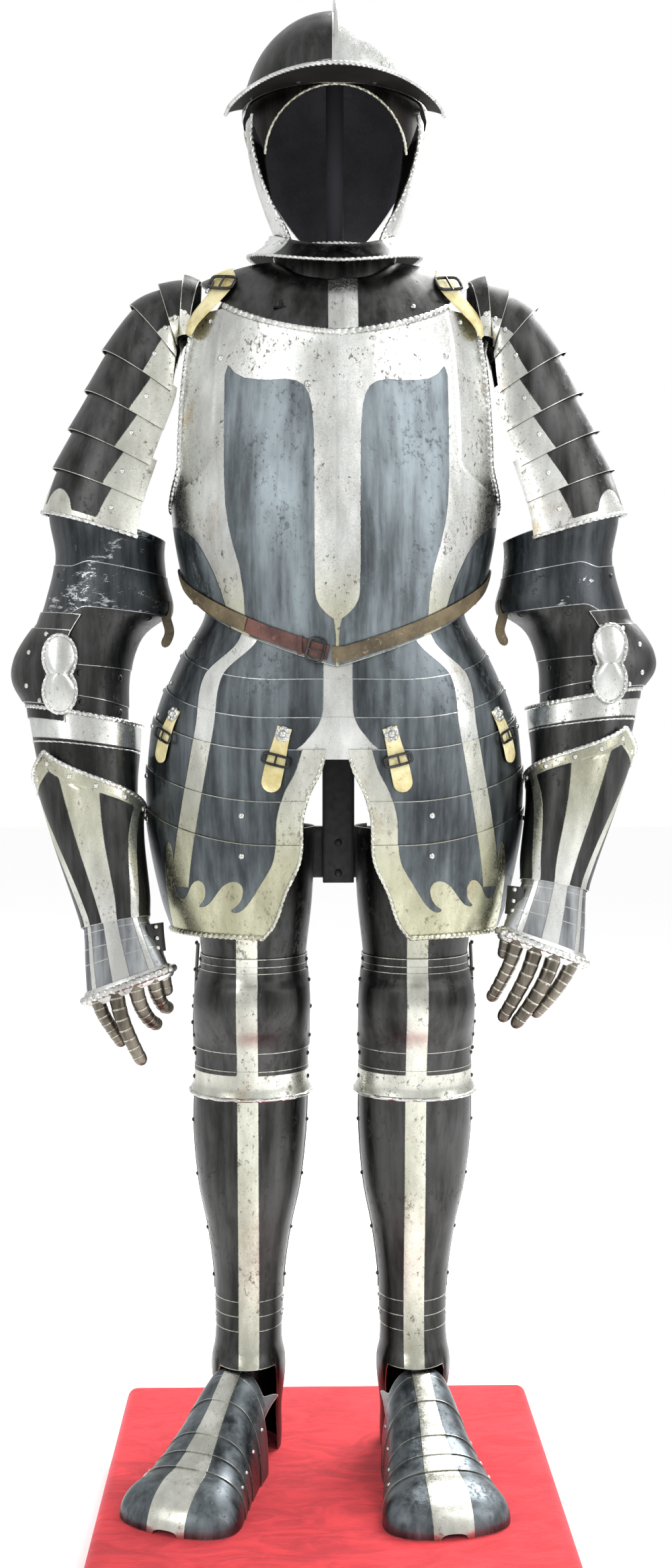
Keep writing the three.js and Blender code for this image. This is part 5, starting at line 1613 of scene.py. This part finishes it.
def build_cover():
    """The velvet, turned under the plinth's edge: a closed shell without the middle of its underside."""
    piece = Piece(np.zeros(3))
    points, faces, cube = rounded_box(PLINTH, PLINTH_EDGE, PLINTH_STEPS)
    inner, _, _ = rounded_box(np.array(PLINTH) - 2 * VELVET_THICK, PLINTH_EDGE - VELVET_THICK, PLINTH_STEPS)
    underside = cube[faces][:, :, 2].max(1) == -1
    middle = np.abs(cube[faces][:, :, :2]).max(2).min(1) < TURN_SHARE
    faces = faces[~(underside & middle)]
    count = len(points)
    rim = free_edges(faces)
    shell = np.vstack([points, inner]) + [0, 0, PLINTH[2] / 2]
    used = np.unique(faces)
    place = np.full(2 * count, -1)
    place[used] = np.arange(len(used))
    place[used + count] = np.arange(len(used)) + len(used)
    hem = np.stack([rim[:, 1], rim[:, 0], rim[:, 0] + count, rim[:, 1] + count], 1)
    piece.add(shell[np.concatenate([used, used + count])],
              [place[faces], place[faces[:, ::-1] + count], place[hem]], VELVET)
    return piece.make("plinth_cover", "velvet", "plinth", angle=60)


def build_board():
    piece = Piece(np.zeros(3))
    points, faces, _ = rounded_box(np.array(PLINTH) - 2 * VELVET_THICK - 2 * BOARD_ROOM, 12, 12)
    piece.add(points + [0, 0, PLINTH[2] / 2], [faces], WOOD)
    piece.make("plinth_board", None, angle=60)


# The frame's bars: width, depth, height, and centre x, y, z
BARS = [(250, 12, 68, 4, 82, 793), (42, 12, 672, 10, 71, 1089), (42, 77, 10, 6, 39.5, 1420),
        (210, 26, 10, 4, 8, 1526.4)]
NECK_ROD = (4, 8)
NECK_ROD_Z = (1417, 1560, 1832)
LEG_ROD_Y = 68


def add_rod(piece, start, end, count, radius=ROD, sides=ROD_SIDES, material=PAINT):
    tube(piece, np.linspace(start, end, count), radius, sides, material=material)


def build_frame():
    piece = Piece(SUIT)
    for width, depth, height, *centre in BARS:
        points, faces, _ = rounded_box((width, depth, height), 2.0, 8)
        piece.add(points + centre, [faces], PAINT)
    low, collar, top = NECK_ROD_Z
    add_rod(piece, [*NECK_ROD, low], [*NECK_ROD, collar], 6)
    add_rod(piece, [*NECK_ROD, collar], [*NECK_ROD, top], 9, material=MATT)
    for z in (806, 766):
        rivet(piece, [10, 64.6, z], [0, -1, 0], 5, 2.4, PAINT, 16)
    for side in SIDES:
        x = side * LEG_X
        add_rod(piece, [x, LEG_ROD_Y, 0.4], [x, LEG_ROD_Y, 328], 8)
        add_rod(piece, [x, LEG_ROD_Y, 320], [4 + x, 80, 793], 10)
        tube(piece, [[x, LEG_ROD_Y, z] for z in (0.4, 3, 5.2)], [25, 26, 24], 32, material=PAINT)
    piece.make("stand_frame_painted", "painted_steel", "stand_frame")


# The whole suit
build_breastplate()
for side in SIDES:
    build_gusset(side)
build_backplate()
build_gorget("front", -89.9, 89.9)
build_gorget("back", 90.1, 269.9)
build_collar()
build_skull()
build_peak()
for side in SIDES:
    build_cheek(side)
build_neck_guard()
for i in range(len(FAULD_EDGES)):
    build_fauld(i)
for side in SIDES:
    for i in range(len(TASSET_EDGES)):
        build_tasset(side, i)
build_belt()
for side in SIDES:
    for pair in range(1, 5):
        build_pauldron(side, pair)
    build_upper_cannon(side)
    build_couter(side)
    build_elbow_lames(side)
    build_lower_cannon(side)
    build_cuff(side)
    build_hand(side)
    build_fingers(side)
for side in SIDES:
    build_cuisse(side)
    build_poleyn(side)
    build_greave(side)
    build_sabaton(side)
for side in SIDES:
    build_shoulder_strap(side)
    for label in TASSET_STRAPS:
        build_tasset_strap(side, label)
cover = build_cover()
build_board()
build_frame()


# Studio: pale floor, soft light and the camera
def build_floor(half=14, shade=0.97):
    mesh = bpy.data.meshes.new("floor")
    corners = [(-half, -half, 0), (half, -half, 0), (half, half, 0), (-half, half, 0)]
    mesh.from_pydata(corners, [], [(0, 1, 2, 3)])
    look = bpy.data.materials.new("floor_white")
    look.use_nodes = True
    shader = look.node_tree.nodes["Principled BSDF"]
    shader.inputs["Base Color"].default_value = (shade, shade, shade, 1)
    shader.inputs["Roughness"].default_value = 0.7
    mesh.materials.append(look)
    floor = bpy.data.objects.new("floor", mesh)
    bpy.context.scene.collection.objects.link(floor)
    return floor


def area_light(name, at, aim, size, energy):
    data = bpy.data.lights.new(name, "AREA")
    data.shape = "RECTANGLE"
    data.size, data.size_y = size
    data.energy = energy
    lamp = bpy.data.objects.new(name, data)
    lamp.location = at
    bpy.context.scene.collection.objects.link(lamp)
    direction = np.array(aim) - np.array(at)
    yaw = math.atan2(-direction[0], direction[1])
    pitch = math.atan2(math.hypot(direction[0], direction[1]), -direction[2])
    lamp.rotation_euler = (pitch, 0, yaw)


build_floor()
area_light("key", (1.7, -1.6, 2.8), (0, 0, 1.3), (1.3, 1.3), 15)
area_light("window", (1.5, 1.8, 3.1), (0, 0, 1.4), (1.8, 1.8), 150)
area_light("fill", (-1.7, -2.0, 2.2), (0, 0, 1.2), (0.9, 1.6), 16)
area_light("top", (0.9, 0.8, 3.4), (0, 0, 1.3), (1.7, 1.7), 70)
area_light("side", (2.3, -1.25, 1.9), (0.1, 0, 1.2), (0.8, 1.6), 17)

bpy.context.scene.view_settings.view_transform = "Standard"
world = bpy.data.worlds.new("studio")
world.use_nodes = True
sky = world.node_tree.nodes["Background"]
sky.inputs["Color"].default_value = (1.0, 1.0, 1.0, 1)
sky.inputs["Strength"].default_value = 1.0
bpy.context.scene.world = world

camera_data = bpy.data.cameras.new("camera")
camera_data.sensor_width = 36
camera_data.lens = 38.0
camera_data.clip_start = 0.05
camera = bpy.data.objects.new("camera", camera_data)
camera.location = (-0.035, -2.097, 1.070)
camera.rotation_euler = (math.radians(90 - 2.3), 0, math.radians(-1.16))
bpy.context.scene.collection.objects.link(camera)
bpy.context.scene.camera = camera

bpy.context.view_layer.update()
